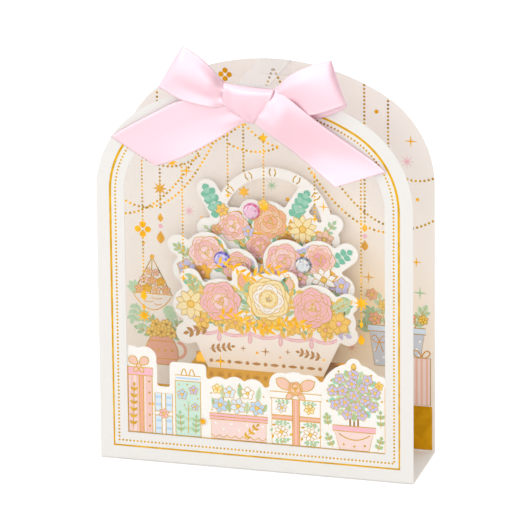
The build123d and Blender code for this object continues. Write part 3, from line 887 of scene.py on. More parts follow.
for centre, count, radius, ink, heart in (
    (-13.8 + 24.8j, 6, 3.3, "sky_ink", "yellow_ink"),
    (-6.9 + 24.9j, 6, 3.4, "pale_sky_ink", "yellow_ink"),
    (0.3 + 24.7j, 6, 3.3, "sky_ink", "yellow_ink"),
    (-10.2 + 30.0j, 5, 2.7, "pale_sky_ink", "yellow_ink"),
    (-3.2 + 30.2j, 5, 2.8, "white_ink", "yellow_ink"),
    (-14.9 + 31.0j, 5, 2.2, "pale_yellow_ink", "amber_ink"),
):
    row += blossom(centre, count, radius, ink, heart, 5)
row += scattered((-17.0 + 22.6j, -6.8 + 20.2j, 2.9 + 29.4j, -17.2 + 29.2j, -6.6 + 33.0j), 0.33, level=7)
# Drum box with a rosette.
ROUNDELS = (9.6 + 16.2j, 20.7 + 16.0j)
ROSETTE = 15.1 + 33.6j
row += outlined("white_ink", 1, block(6.0, SILL, 24.5, 29.4))
row += outlined("white_ink", 3, block(5.4, 29.4, 25.1, 32.0))
row += outlined("coral_ink", 3, block(6.0, 21.0, 24.5, 22.8))
row += outlined("coral_ink", 5, block(13.9, SILL, 16.6, 29.4))
row.append(("pale_coral_ink", 4, block(6.2, 21.7, 24.3, 22.2)))
row.append(("pale_coral_ink", 6, block(14.9, SILL + 0.2, 15.5, 29.2)))
row += tied_bow(ROSETTE - 1j, 7.4, 4.4, "pale_coral_ink", 7)
row += full_bloom(ROSETTE, 3.0, ("coral_ink", "pale_coral_ink"), 14)
for centre, count, radius, ink in (
    (ROUNDELS[0], 8, 2.9, "white_ink"),
    (ROUNDELS[1], 8, 3.0, "white_ink"),
    (9.8 + 25.8j, 6, 2.2, "pale_sky_ink"),
    (20.4 + 25.9j, 6, 2.3, "pale_yellow_ink"),
):
    row += blossom(centre, count, radius, ink, "amber_ink", 5)
for stem, tip in (
    (7.0 + 12.4j, 12.6 + 13.0j),
    (23.4 + 12.4j, 18.2 + 12.6j),
    (7.0 + 19.6j, 12.8 + 19.8j),
    (23.6 + 19.6j, 18.0 + 19.9j),
    (12.9 + 28.2j, 7.2 + 28.0j),
    (17.6 + 28.2j, 23.2 + 28.0j),
):
    row += spray(stem, tip, 3, 1.5, 0.8, "green_ink", 4, vein="sage_ink")
for at, turn in enumerate((0.4, 1.0, 1.6, 2.2, 2.8, 3.5, 4.1, 4.7, 5.3, 5.9)):
    for heart in ROUNDELS:
        ink = ("green_ink", "gold_foil")[at % 2]
        row += leaf(heart + rect(3.3, turn), heart + rect(4.5, turn + 0.35), 0.8, ink, 3)
# Lilac in a pot.
LILAC_HEART = 37.4 + 33.0j
LEAF_RINGS = ((10.4, 20), (7.6, 14), (4.8, 9))
LEAF_INKS = ("green_ink", "sage_ink", "pale_teal_ink")
FLOWER_RINGS = ((8.2, 9), (4.6, 6), (0.0, 1))
row += outlined("blush_ink", 3, [31.8 + SILL * 1j, 43.0 + SILL * 1j, 44.8 + 18.6j, 30.0 + 18.6j])
row += outlined("rose_ink", 5, block(29.2, 18.6, 45.6, 20.8))
row += [("brown_ink", 0.5, block(stem - 0.35, 20.8, stem + 0.35, 27.5)) for stem in (35.9, 37.4, 38.9)]
for ring, (reach, count) in enumerate(LEAF_RINGS):
    for at in range(count):
        turn = 2 * pi * at / count + 0.3 * ring
        root, tip = LILAC_HEART + rect(reach - 3.4, turn), LILAC_HEART + rect(reach, turn)
        row += leaf(root, tip, 2.6, LEAF_INKS[at % 3], 1 + 2 * ring)
for ring, (reach, count) in enumerate(FLOWER_RINGS):
    for at in range(count):
        turn = 2 * pi * at / count + 0.5 * ring + 0.2
        level = 8 + 6 * (ring % 2)
        row += blossom(LILAC_HEART + rect(reach, turn), 5, 2.4, "lilac_ink", "yellow_ink", level, turn)
row += outlined("amber_ink", 8, blade(37.3 + 42.8j, 37.3 + 45.6j, 1.8, 0.8))
row += blossom(46.9 + 37.4j, 5, 1.9, "yellow_ink", "coral_ink", 3)
row += drawn("gold_foil", 7, swag(31.6 + 17.6j, 43.4 + 17.6j, 2.2, 10), 0.4)
row += scattered((33.4 + 13.4j, 37.4 + 12.9j, 41.4 + 13.4j), 0.45, level=7)
row += scattered((27.2 + 30.0j, 28.8 + 38.2j, 31.6 + 42.0j, 44.0 + 41.4j, 48.0 + 31.4j), 0.4, level=7)
for stem, tip in (
    (29.2 + 12.0j, 26.8 + 17.6j),
    (46.4 + 12.0j, 48.0 + 17.8j),
    (47.6 + 21.0j, 47.4 + 28.0j),
    (27.6 + 20.4j, 26.8 + 25.6j),
):
    row += spray(stem, tip, 2, 2.2, 1.5, "green_ink")
# A fine gold foil line at the sill, and at each side a fine line that is painted shadow of the window's cut
# edge on the gift row.
row.append(("gold_foil", 14, block(-49.4, SILL_LINE, 49.4, SILL)))
# Painted shadow along each side.
row.append(("deep_gold_foil", 14, block(-49.4, SILL_LINE, -49.1, 37.4)))
row.append(("deep_gold_foil", 14, block(49.1, SILL_LINE, 49.4, 37.0)))
lay_print("gift_row_print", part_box("gift_row")[0].y, row)


# Basket, front layer. Coated card, die-cut, held on foam pads: a cream wall with beads and swags, and
# the lowest flowers over its rim. Motifs are placed from the middle of the basket's bottom edge.
BASKET_HOME = -2.35 + 30.6j
CUT_BORDER = 1.3
ROOT_SPARE = 0.9
TIP_SPARE = 1.2
HIDDEN_EDGE = 0.8
LEAF_SPACING = 0.27
LEAF_SLIMNESS = 0.44
TRIES_PER_LEAF = 30
for node_name in ("basket_front", "flowers_middle", "basket_back"):
    dress(node_name, coated_card)


def lay_on_basket(name, node, shapes):
    """Prints shapes, drawn from the basket's own origin, on one of its layers."""
    moved = [(ink, level, [point + BASKET_HOME for point in outline]) for ink, level, outline in shapes]
    lay_print(name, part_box(node)[0].y, moved)


def on_card(point, blooms, sprays, spare):
    """Whether a point is on the flowers' die-cut card, with some to spare."""
    if any(abs(point - centre) < radius + CUT_BORDER - spare for centre, radius in blooms):
        return True
    for stem, tip, width in sprays:
        along = tip - stem
        share = min(1.0, max(0.0, ((point - stem) * along.conjugate()).real / abs(along) ** 2))
        if abs(point - stem - along * share) < width / 2 + CUT_BORDER - spare:
            return True
    return False


def foliage(blooms, sprays, covered, area, count, length, inks_in, seed, away_from):
    """Leaves strewn between the covered parts, each clear of the last and wholly on the card."""
    chance = random.Random(seed)
    left, low, right, high = area
    placed, shapes = [], []
    for attempt in range(count * TRIES_PER_LEAF):
        root = complex(chance.uniform(left, right), chance.uniform(low, high))
        heading = (root - away_from) / max(abs(root - away_from), 0.01) * rect(1, chance.uniform(-0.8, 0.8))
        tip = root + heading * length * chance.uniform(0.75, 1.1)
        middle = (root + tip) / 2
        apart = min([abs(middle - other) for other in placed] or [length])
        inside = on_card(root, blooms, sprays, ROOT_SPARE) and on_card(tip, blooms, sprays, TIP_SPARE)
        shows = all(abs(middle - centre) > radius - HIDDEN_EDGE for centre, radius in covered)
        if inside and shows and apart > length * LEAF_SPACING and len(placed) < count:
            ink, level = inks_in[len(placed) % len(inks_in)], 1 + 2 * (len(placed) % 4)
            shapes += leaf(root, tip, length * LEAF_SLIMNESS, ink, level)
            placed.append(middle)
    return shapes


FRONT_BLOOMS = (
    # centre, radius
    (-28.6 + 24.4j, 5.5),
    (-17.1 + 25.9j, 8.2),
    (1.4 + 28.9j, 8.8),
    (19.4 + 26.4j, 8.2),
    (28.5 + 21.9j, 5.0),
)
FRONT_SPRAYS = (
    # stem, tip, width
    (-25.0 + 27.5j, -28.8 + 34.5j, 5.5),
    (-7.6 + 30.0j, -8.9 + 37.2j, 5.0),
    (8.5 + 31.0j, 9.0 + 36.5j, 5.0),
    (26.0 + 26.0j, 31.6 + 29.5j, 5.5),
    (27.0 + 19.0j, 31.8 + 16.8j, 5.0),
    (-22.0 + 15.5j, -30.2 + 13.0j, 6.0),
)
FRONT_COVERED = (
    # centre, radius of each flower that hides leaves
    (-28.6 + 24.6j, 6.0),
    (-17.1 + 26.6j, 8.3),
    (1.4 + 29.0j, 8.7),
    (18.4 + 26.9j, 8.2),
    (28.4 + 21.6j, 4.8),
)
BEAD_ROW = 2.85
BEAD_PITCH = 7
SWAG_ENDS = (-27.6, -17.8, -5.9, 5.9, 17.8, 27.6)
SWAG_LINES = ((15.4, "deep_rose_ink", 0.3), (14.9, "pale_rose_ink", 1.0), (14.4, "deep_rose_ink", 0.3))
RIM_INKS = ("amber_ink", "yellow_ink", "amber_ink", "pale_yellow_ink")
wall = [("cream_ink", 1, [-22.0 + 0.2j, 22.0 + 0.2j, 29.4 + 16.0j, -29.4 + 16.0j])]
for step in range(-3, 4):
    bead = complex(BEAD_PITCH * step, BEAD_ROW)
    wall.append(("bronze_ink", 2, disc(bead, 0.75)))
    if step < 3:
        wall.append(("bronze_ink", 2, blade(bead + 1.7, bead + 5.3, 1.2, bluntness=0.8)))
for side in (-1, 1):
    wall += spray(side * 21.5 + 7.4j, side * 11.5 + 9.2j, 4, 2.3, 1.1, "bronze_ink", 2, 0.9, "bronze_ink")
    wall.append(("bronze_ink", 2, star(side * 8.6 + 8.6j, 4, 1.3, 0.3)))
wall.append(("bronze_ink", 2, star(8.0j, 4, 1.9, 0.4)))
wall.append(("film_gold_foil", 2, disc(5.6 + 6.2j, 0.4)))
for start, end in zip(SWAG_ENDS, SWAG_ENDS[1:]):
    for drop, ink, width in SWAG_LINES:
        wall += drawn(ink, 3, swag(start + drop * 1j, end + drop * 1j, 1.5, 12), width)
for across in SWAG_ENDS[1:-1]:
    tassel = blade(across + 15.0j, across + 10.6j, 1.5, 1.4, 0.8)
    wall += outlined("pale_rose_ink", 4, tassel, 0.26, "deep_rose_ink")
flowers = []
for step, across in enumerate(range(-26, 28, 4)):
    rim = across + (17.2 + 0.8 * (step % 2)) * 1j
    lean = -1.6 if step % 2 else 1.6
    droop = rim + 2 + complex(-lean, -2.4 + 1.2 * (step % 3))
    flowers += leaf(rim, rim + complex(lean, -3.6), 2.0, "amber_ink", 7)
    flowers += leaf(rim + 2, droop, 1.7, ("teal_ink", "green_ink")[step % 2], 5)
for step, across in enumerate((-24.5, -18.6, -11.4, -6.0, -0.4, 5.2, 11.0, 16.8, 23.2)):
    centre, radius = across + (18.6 + 0.9 * (step % 2)) * 1j, 3.0 if step % 2 else 3.5
    level = 11 + 6 * (step % 2)
    flowers += blossom(centre, 6, radius, RIM_INKS[step % 4], "coral_ink", level, 0.4 * step)
flowers += foliage(
    FRONT_BLOOMS,
    FRONT_SPRAYS,
    FRONT_COVERED,
    area=(-34, 19, 34, 38),
    count=90,
    length=4.0,
    inks_in=("green_ink", "amber_ink", "teal_ink", "yellow_ink", "sage_ink", "amber_ink"),
    seed=5,
    away_from=18j,
)
flowers += blossom(-28.6 + 24.6j, 10, 6.1, "pale_yellow_ink", "amber_ink", 24, slim=1.1)
flowers += full_bloom(-17.1 + 26.6j, 8.3, ("rose_ink", "rose_ink", "pale_rose_ink", "rose_ink"), 31)
flowers += full_bloom(1.4 + 29.0j, 8.7, ("pale_yellow_ink", "white_ink", "pale_yellow_ink"), 24, count=8)
flowers += full_bloom(18.4 + 26.9j, 8.2, ("rose_ink", "rose_ink", "rose_ink", "pale_rose_ink"), 31, 0.6)
flowers += blossom(28.4 + 21.6j, 6, 4.9, "amber_ink", "rose_ink", 24)
flowers += spray(-26.4 + 29.5j, -29.4 + 36.4j, 2, 3.3, 1.7, "green_ink", 9)
flowers += spray(26.0 + 26.0j, 33.0 + 30.8j, 3, 3.0, 1.6, "sage_ink", 9)
flowers += spray(27.0 + 18.6j, 33.4 + 16.4j, 1, 3.4, 1.9, "lilac_ink", 9)
flowers += spray(-22.0 + 15.6j, -31.8 + 12.6j, 3, 3.0, 1.5, "bronze_ink", 9, vein="bronze_ink")
flowers += outlined("coral_ink", 11, blade(-8.0 + 32.6j, -9.2 + 38.4j, 3.6, 0.8, 0.8))
flowers += leaf(-8 + 31j, -6.4 + 35.4j, 1.7, "green_ink", 13)
flowers += outlined("pale_coral_ink", 11, blade(9.4 + 33.0j, 9.4 + 38.2j, 3.4, 0.8, 0.8))
flowers += leaf(9 + 32j, 7.0 + 36.6j, 1.7, "teal_ink", 13)
lay_on_basket("basket_front_print", "basket_front", wall + flowers)


# Flowers, middle layer. Two clusters of coated card, die-cut in one piece with a hidden strip between
# them, on foam pads.
MIDDLE_BLOOMS = (
    # centre, radius
    (-30.6 + 36.9j, 4.5),
    (-23.1 + 43.9j, 7.0),
    (-11.1 + 38.9j, 6.5),
    (7.4 + 42.9j, 7.5),
    (19.9 + 44.4j, 6.5),
    (22.8 + 35.4j, 6.0),
    (28.0 + 34.0j, 4.2),
)
MIDDLE_COVERED = (
    # centre, radius of each flower that hides leaves
    (-23.2 + 44.1j, 7.2),
    (-11.4 + 39.6j, 6.1),
    (6.6 + 43.1j, 7.4),
    (20.2 + 44.9j, 6.4),
    (21.9 + 37.2j, 4.6),
)
cluster = foliage(
    MIDDLE_BLOOMS,
    (),
    MIDDLE_COVERED,
    area=(-36, 30, 34, 52),
    count=90,
    length=4.0,
    inks_in=("deep_gold_foil", "green_ink", "deep_gold_foil", "lilac_ink", "teal_ink"),
    seed=8,
    away_from=-2 + 30j,
)
cluster += full_bloom(-23.2 + 44.1j, 7.2, ("pale_rose_ink", "rose_ink", "pale_rose_ink"), 19, 0.1)
cluster += full_bloom(-11.4 + 39.6j, 6.1, ("rose_ink", "pale_coral_ink", "rose_ink"), 19, 0.5)
cluster += full_bloom(6.6 + 43.1j, 7.4, ("rose_ink", "pale_rose_ink", "rose_ink"), 19, 0.3)
cluster += full_bloom(20.2 + 44.9j, 6.4, ("pale_rose_ink", "rose_ink", "deep_rose_ink"), 19, 0.0)
cluster += blossom(-31.0 + 37.6j, 5, 4.0, "lilac_ink", "yellow_ink", 11)
cluster += blossom(-24.6 + 36.4j, 6, 3.6, "deep_gold_foil", "coral_ink", 33)
cluster += blossom(21.9 + 37.2j, 8, 5.0, "white_ink", "amber_ink", 33, slim=0.9)
cluster += blossom(12.6 + 36.9j, 6, 3.4, "rose_ink", "yellow_ink", 33)
cluster += blossom(28.6 + 35.2j, 5, 3.7, "lilac_ink", "yellow_ink", 11)
cluster += spray(-29.4 + 42.6j, -36.4 + 46.8j, 3, 2.8, 1.5, "green_ink", 9)
cluster += spray(24.8 + 43.6j, 32.8 + 49.4j, 3, 2.9, 2.3, "teal_ink", 9, 1.15, "pale_teal_ink", 0.7)
lay_on_basket("flowers_middle_print", "flowers_middle", cluster)


# Basket, back layer. Coated card, die-cut in one piece with the arched handle, on foam pads; the handle
# is bound with pairs of gold arcs.
BACK_BLOOMS = (
    # centre, radius
    (-13.1 + 54.4j, 6.0),
    (-0.1 + 56.9j, 7.0),
    (12.4 + 54.9j, 6.0),
    (21.4 + 51.4j, 4.5),
    (-5.6 + 46.4j, 7.5),
    (6.4 + 46.4j, 7.5),
    (16.4 + 45.4j, 7.0),
)
HANDLE_CENTRE = 1.6 + 55.5j
BINDING_TURN = 0.454
BINDING_ARC = ((19.5, 0.035), (21.0, 0.06), (22.5, 0.035))
BACK_COVERED = (
    # centre, radius of each flower that hides leaves
    (-13.6 + 54.4j, 6.3),
    (0.6 + 57.2j, 6.9),
    (-3.6 + 47.2j, 5.4),
    (13.0 + 55.2j, 5.4),
    (21.3 + 51.8j, 3.7),
)
crown = foliage(
    BACK_BLOOMS,
    (),
    BACK_COVERED,
    area=(-20, 36, 26, 64),
    count=100,
    length=4.0,
    inks_in=("deep_gold_foil", "amber_ink", "green_ink", "deep_gold_foil", "teal_ink"),
    seed=3,
    away_from=40j,
)
crown += full_bloom(-13.6 + 54.4j, 6.3, ("pale_rose_ink", "rose_ink", "pale_rose_ink"), 19, 0.2)
crown += full_bloom(0.6 + 57.2j, 6.9, ("coral_ink", "pale_coral_ink", "coral_ink"), 19, 0.5)
crown += full_bloom(-3.6 + 47.2j, 5.4, ("rose_ink", "deep_rose_ink", "rose_ink"), 19, 0.0)
crown += blossom(13.0 + 55.2j, 10, 5.8, "pale_yellow_ink", "amber_ink", 13, slim=1.0)
crown += blossom(21.3 + 51.8j, 6, 3.9, "pale_coral_ink", "yellow_ink", 11)
for centre, count, radius, ink, heart in (
    (-7.9 + 52.9j, 5, 2.7, "lilac_ink", "amber_ink"),
    (-17.8 + 60.4j, 6, 2.7, "amber_ink", "coral_ink"),
    (-19.9 + 52.6j, 6, 2.4, "coral_ink", "yellow_ink"),
    (7.2 + 50.2j, 8, 3.0, "deep_gold_foil", "coral_ink"),
    (-1.9 + 63.9j, 5, 2.3, "yellow_ink", "coral_ink"),
):
    crown += blossom(centre, count, radius, ink, heart, 33)
crown += spray(-18.6 + 57.6j, -24.8 + 70.2j, 4, 3.3, 2.9, "teal_ink", 9, 1.15, "pale_teal_ink", 0.7)
crown += spray(-19.8 + 59.6j, -24.2 + 68.6j, 2, 2.8, 2.2, "pale_teal_ink", 11, 1.0, "teal_ink", 0.7)
crown += spray(9.6 + 59.4j, 15.4 + 70.6j, 4, 3.2, 2.8, "teal_ink", 9, 1.15, "pale_teal_ink", 0.7)
crown += spray(10.6 + 61.4j, 14.8 + 69.4j, 2, 2.7, 2.1, "pale_teal_ink", 11, 1.0, "teal_ink", 0.7)
crown += spray(21.6 + 53.6j, 25.8 + 59.6j, 2, 2.7, 1.4, "green_ink", 9)
crown += spray(-18.6 + 48.9j, -25.2 + 53.8j, 2, 2.9, 1.5, "sage_ink", 9)
for binding in range(-2, 3):
    middle = pi / 2 + binding * BINDING_TURN
    for side in (-1, 1):
        arc = [HANDLE_CENTRE + rect(radius, middle + side * spread) for radius, spread in BINDING_ARC]
        crown += drawn("bead_gold_foil", 1, arc, 0.5)
lay_on_basket("basket_back_print", "basket_back", crown)


# Gold shelf. Card laminated with mirror foil, creased at both tabs, one glued to the gift row and one to
# the back panel.
WAVE_LENGTH = 30.0 * mm
WAVE_WIDTH = 9.0 * mm
# Laminated mirror foil: a gold mirror, slightly soft, on broad shallow waves of the card, so that what it
# shows is blurred and bent. Foil that is seen again in the foil is painted paler, a painted reflection colour
# that keeps gold mirrored in gold from turning orange.
mirror_foil, tree = blank_material("gold_mirror_foil")
spot = add_node(tree, "TexCoord")
wave_scale = (1 / WAVE_LENGTH, 1 / WAVE_WIDTH, 1 / WAVE_WIDTH)
drawn_out = add_node(tree, "Mapping", {"Scale": wave_scale}, {"Vector": (spot, "Object")})
waves = add_node(tree, "TexNoise", {"Scale": 1.0, "Detail": 1.0}, {"Vector": (drawn_out, 0)})
ripple = add_node(tree, "Bump", {"Strength": 1.0, "Distance": 0.6 * mm}, {"Height": (waves, "Fac")})
# Rays off a mirror see the paler gold: a painted reflection colour.
path = add_node(tree, "LightPath")
tones = {6: linear("#E6AF34"), 7: linear("#F6E0A8")}
gold = add_node(tree, "Mix", tones, {0: (path, "Is Glossy Ray")}, data_type="RGBA")
foil = add_node(
    tree,
    "BsdfPrincipled",
    {"Metallic": 1.0, "Roughness": 0.24, "Specular Tint": linear("#FFFFB4")},
    {"Base Color": (gold, 2), "Normal": (ripple, 0)},
)
add_node(tree, "OutputMaterial", links={"Surface": (foil, 0)})
dress("gold_shelf", mirror_foil)


# Film bridge. A strip of clear polypropylene film that ties the tops of the two panels together, creased
# at both ends and glued to them.
CREASE_LINE = 0.45 * mm
FACING_SIDEWAYS = 0.8
FACING_UP = 0.3
bridge_low, bridge_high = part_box("film_bridge")
bridge_middle, bridge_reach = (bridge_low.y + bridge_high.y) / 2, (bridge_high.y - bridge_low.y) / 2
# Clear polypropylene film. Its free cut edges are painted grey from their own side, a painted shade for the
# light lost inside the film there, and the upward faces of its creases are painted light grey, a painted
# highlight.
bridge_film, tree = blank_material("clear_bridge_film")
spot = add_node(tree, "TexCoord")
facing = add_node(tree, "SeparateXYZ", links={0: (spot, "Normal")})
place = add_node(tree, "SeparateXYZ", links={0: (spot, "Object")})
# Painted shade: faces that turn sideways, the film's cut edges.
sideways = add_node(tree, "Math", links={0: (facing, "X")}, operation="ABSOLUTE")
cut_edge = add_node(tree, "Math", {1: FACING_SIDEWAYS}, {0: (sideways, 0)}, operation="GREATER_THAN")
off_middle = add_node(tree, "Math", {1: bridge_middle}, {0: (place, "Y")}, operation="SUBTRACT")
off_middle = add_node(tree, "Math", links={0: (off_middle, 0)}, operation="ABSOLUTE")
near_end = add_node(
    tree, "Math", {1: bridge_reach - CREASE_LINE}, {0: (off_middle, 0)}, operation="GREATER_THAN"
)
unglued = add_node(
    tree, "Math", {1: bridge_reach - 2 * CREASE_LINE}, {0: (off_middle, 0)}, operation="LESS_THAN"
)
free_edge = add_node(tree, "Math", links={0: (cut_edge, 0), 1: (unglued, 0)}, operation="MULTIPLY")
side_seen = add_node(tree, "NewGeometry")
own_side = add_node(tree, "Math", {1: 0.5}, {0: (side_seen, "Backfacing")}, operation="LESS_THAN")
free_edge = add_node(tree, "Math", links={0: (free_edge, 0), 1: (own_side, 0)}, operation="MULTIPLY")
# Painted highlight: the upward faces near the film's ends.
upward = add_node(tree, "Math", {1: FACING_UP}, {0: (facing, "Z")}, operation="GREATER_THAN")
crease_highlight = add_node(tree, "Math", links={0: (near_end, 0), 1: (upward, 0)}, operation="MULTIPLY")
painted_part = add_node(tree, "Math", links={0: (free_edge, 0), 1: (crease_highlight, 0)}, operation="MAXIMUM")
clear = add_node(
    tree,
    "BsdfPrincipled",
    {"Base Color": linear("#FFFFFF"), "Roughness": 0.06, "IOR": 1.5, "Alpha": 0.12},
)
tones = {6: linear("#8C8D90"), 7: linear("#D4D4D6")}
painted_edge_shade_and_crease_highlight = add_node(tree, "Mix", tones, {0: (crease_highlight, 0)}, data_type="RGBA")
grey = add_node(
    tree, "BsdfPrincipled", {"Roughness": 0.2, "IOR": 1.5, "Alpha": 0.8}, {"Base Color": (painted_edge_shade_and_crease_highlight, 2)}
)
skin = add_node(tree, "MixShader", links={0: (painted_part, 0), 1: (clear, 0), 2: (grey, 0)})
add_node(tree, "OutputMaterial", links={"Surface": (skin, 0)})
dress("film_bridge", bridge_film)


# Foam pads. Blocks of double-sided foam tape fill the gaps behind the layers, a little squeezed, so their
# cut sides bulge.
PAD_SIZE = (8.0, 6.0)
PAD_BULGE = 0.35
PAD_SIDES = 32
PAD_SQUARENESS = 1.35
PAD_RINGS = ((0.0, -0.15), (0.18, 0.2), (0.5, PAD_BULGE), (0.82, 0.2), (1.0, -0.15))
FOAM_CELL = 0.35 * mm
# White polyethylene foam: closed cells cut open at the sides, so it is matte and finely pitted.
foam, tree = blank_material("white_polyethylene_foam")
spot = add_node(tree, "TexCoord")
cells = add_node(tree, "TexVoronoi", {"Scale": 1 / FOAM_CELL}, {"Vector": (spot, "Object")})
tones = {6: linear("#F4F1EC"), 7: linear("#DAD6CF")}
cell_tint = add_node(tree, "Mix", tones, {0: (cells, "Distance")}, data_type="RGBA")
pits = add_node(tree, "Bump", {"Strength": 0.5, "Distance": 0.1 * mm}, {"Height": (cells, "Distance")})
cut_foam = add_node(
    tree, "BsdfPrincipled", {"Roughness": 0.9}, {"Base Color": (cell_tint, 2), "Normal": (pits, 0)}
)
add_node(tree, "OutputMaterial", links={"Surface": (cut_foam, 0)})


def foam_pads(name, node, places):
    """Rounded blocks of foam between a layer and what is behind it."""
    low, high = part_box(node)
    half_width, half_height = PAD_SIZE[0] / 2, PAD_SIZE[1] / 2
    corners, faces = [], []
    for place in places:
        middle, first = place + BASKET_HOME, len(corners)
        for depth, swell in PAD_RINGS:
            for step in range(PAD_SIDES):
                turn = 2 * pi * (step + 0.5) / PAD_SIDES
                across = max(-1.0, min(1.0, PAD_SQUARENESS * cos(turn))) * (half_width + swell - PAD_BULGE)
                up = max(-1.0, min(1.0, PAD_SQUARENESS * sin(turn))) * (half_height + swell - PAD_BULGE)
                back = low.y + (high.y - low.y) * depth
                corners.append(((middle.real + across) * mm, back, (middle.imag + up) * mm))
        for ring in range(len(PAD_RINGS) - 1):
            start = first + PAD_SIDES * ring
            for step in range(PAD_SIDES):
                here, after = start + step, start + (step + 1) % PAD_SIDES
                faces.append((here, after, after + PAD_SIDES, here + PAD_SIDES))
        faces.append(range(first + PAD_SIDES - 1, first - 1, -1))
        faces.append(range(len(corners) - PAD_SIDES, len(corners)))
    piece = new_piece(name, corners, faces, [foam])
    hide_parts(node)
    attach(piece, "root")


foam_pads("foam_tape_front", "foam_pads_front", (-19.0 + 24.5j, 1.4 + 25.5j, 20.0 + 24.5j))
foam_pads("foam_tape_middle", "foam_pads_middle", (-13.5 + 24.0j, 14.5 + 24.0j, -10.7 + 36.5j, 8.4 + 38.5j))
foam_pads("foam_tape_back", "foam_pads_back", (-12.0 + 20.0j, 12.0 + 20.0j, -12.0 + 53.0j, 10.5 + 53.0j))


# Stones. Round flat-backed stones of moulded acrylic, cut with a table, stars, kites and a steep rim,
# foiled behind and glued to the flowers.
RIM_SIDES = 16
TABLE_SIDES = 8
STONE_RINGS = (
    # corners, share of the radius, share of the height
    (RIM_SIDES, 0.97, 0.0),
    (RIM_SIDES, 1.0, 0.2),
    (RIM_SIDES, 0.83, 0.66),
    (TABLE_SIDES, 0.6, 1.0),
)
PAINTED_GLINT = 1.1 * mm
PAINTED_GLINT_SHADE = 0.72
# Four tones of one colour per stone: the table and the lit facets are painted highlight, the shaded facets
# and the deep rim are painted shade.
FACET_GLOSS = (("table", 0.6), ("bright", 0.6), ("painted_shade", 0.4), ("rim", 0.1))


def foiled_acrylic(name, tone, gloss):
    """Moulded acrylic with foil behind it: clear and glossy, with small darker flecks painted in, a painted
    reflection of the foil seen through a facet. The steep rim keeps its deep painted tone, because it mirrors
    little of the surround."""
    acrylic, tree = blank_material(name)
    spot = add_node(tree, "TexCoord")
    # Painted reflection: darker flecks of the foil seen through the facets.
    painted_glints = add_node(tree, "TexVoronoi", {"Scale": 1 / PAINTED_GLINT}, {"Vector": (spot, "Object")})
    painted_shade = tuple(channel * PAINTED_GLINT_SHADE for channel in linear(tone)[:3]) + (1.0,)
    depth = add_node(tree, "Mix", {6: linear(tone), 7: painted_shade}, {0: (painted_glints, "Distance")}, data_type="RGBA")
    body = add_node(
        tree,
        "BsdfPrincipled",
        {
            "Metallic": 0.1,
            "Roughness": 0.1,
            "IOR": 1.49,
            "Specular IOR Level": 0.6 * gloss + 0.1,
            "Coat Weight": gloss,
            "Coat Roughness": 0.02,
        },
        {"Base Color": (depth, 2)},
    )
    add_node(tree, "OutputMaterial", links={"Surface": (body, 0)})
    return acrylic


def moulded_stone(name, node, tones):
    """A faceted stone in place of the plain one. Tones, copies of one colour as painted highlight and painted
    shade: table, lit facets, shaded facets and rim.
    """
    low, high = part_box(node)
    centre, radius, height = (low + high) / 2, (high.x - low.x) / 2, high.y - low.y
    corners = []
    for count, share, rise in STONE_RINGS:
        for at in range(count):
            turn, out = 2 * pi * at / count, radius * share
            corners.append((centre.x + out * cos(turn), high.y - height * rise, centre.z + out * sin(turn)))
    faces, finish = [], []
    for ring in (0, 1):
        for at in range(RIM_SIDES):
            here, after = RIM_SIDES * ring + at, RIM_SIDES * ring + (at + 1) % RIM_SIDES
            faces.append((here, after, after + RIM_SIDES, here + RIM_SIDES))
            finish.append(3 - at % 2 * ring)
    shoulder, table = 2 * RIM_SIDES, 3 * RIM_SIDES
    for at in range(TABLE_SIDES):
        tip, next_tip = table + at, table + (at + 1) % TABLE_SIDES
        before, middle = shoulder + (2 * at - 1) % RIM_SIDES, shoulder + 2 * at
        after = middle + 1
        faces += [(before, middle, tip), (middle, after, tip), (after, next_tip, tip)]
        finish += [at % 2, 1, 2 - at % 2]
    faces += [range(table, table + TABLE_SIDES), range(RIM_SIDES - 1, -1, -1)]
    finish += [0, 3]
    skins = []
    for (part, gloss), tone in zip(FACET_GLOSS, tones):
        skins.append(foiled_acrylic(name + "_foiled_acrylic_" + part, tone, gloss))
    piece = new_piece(name, corners, faces, skins, finish)
    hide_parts(node)
    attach(piece, "root")


# Each stone's tones: table, lit facets, shaded facets and rim, as painted highlight and painted shade of one
# colour.
moulded_stone("stone_pink", "gem_pink", ("#FBCBE6", "#FBD6EA", "#F497CB", "#F0619F"))
moulded_stone("stone_purple", "gem_purple", ("#C4BEFA", "#D6D2FC", "#8A7FE8", "#5B4ECB"))
moulded_stone("stone_clear", "gem_clear", ("#E4EAEE", "#F8F6EE", "#A6B6C6", "#66727F"))


# Bow. Double-faced satin ribbon, woven from polyester: a loop and a tail to each side, and a band
# gathered over the middle. It is tied by hand and glued to the front panel.
RIBBON_WIDTH = 17.0
RIBBON_THICKNESS = 0.25 * mm
THREAD_PITCH = 0.35
RIB_PITCH = 0.95
SELVEDGE = 1.0
SELVEDGE_STEP = 0.1
ROW_STEPS = 8
CROSS_STEPS = 24
GATHER_LENGTH = 14
GATHER_PHASE = 0.5
LIGHT_THROUGH = 0.17
GLOSS_SHARE = 0.32
BANDS_PER_UNIT = 20 / (2 * pi)
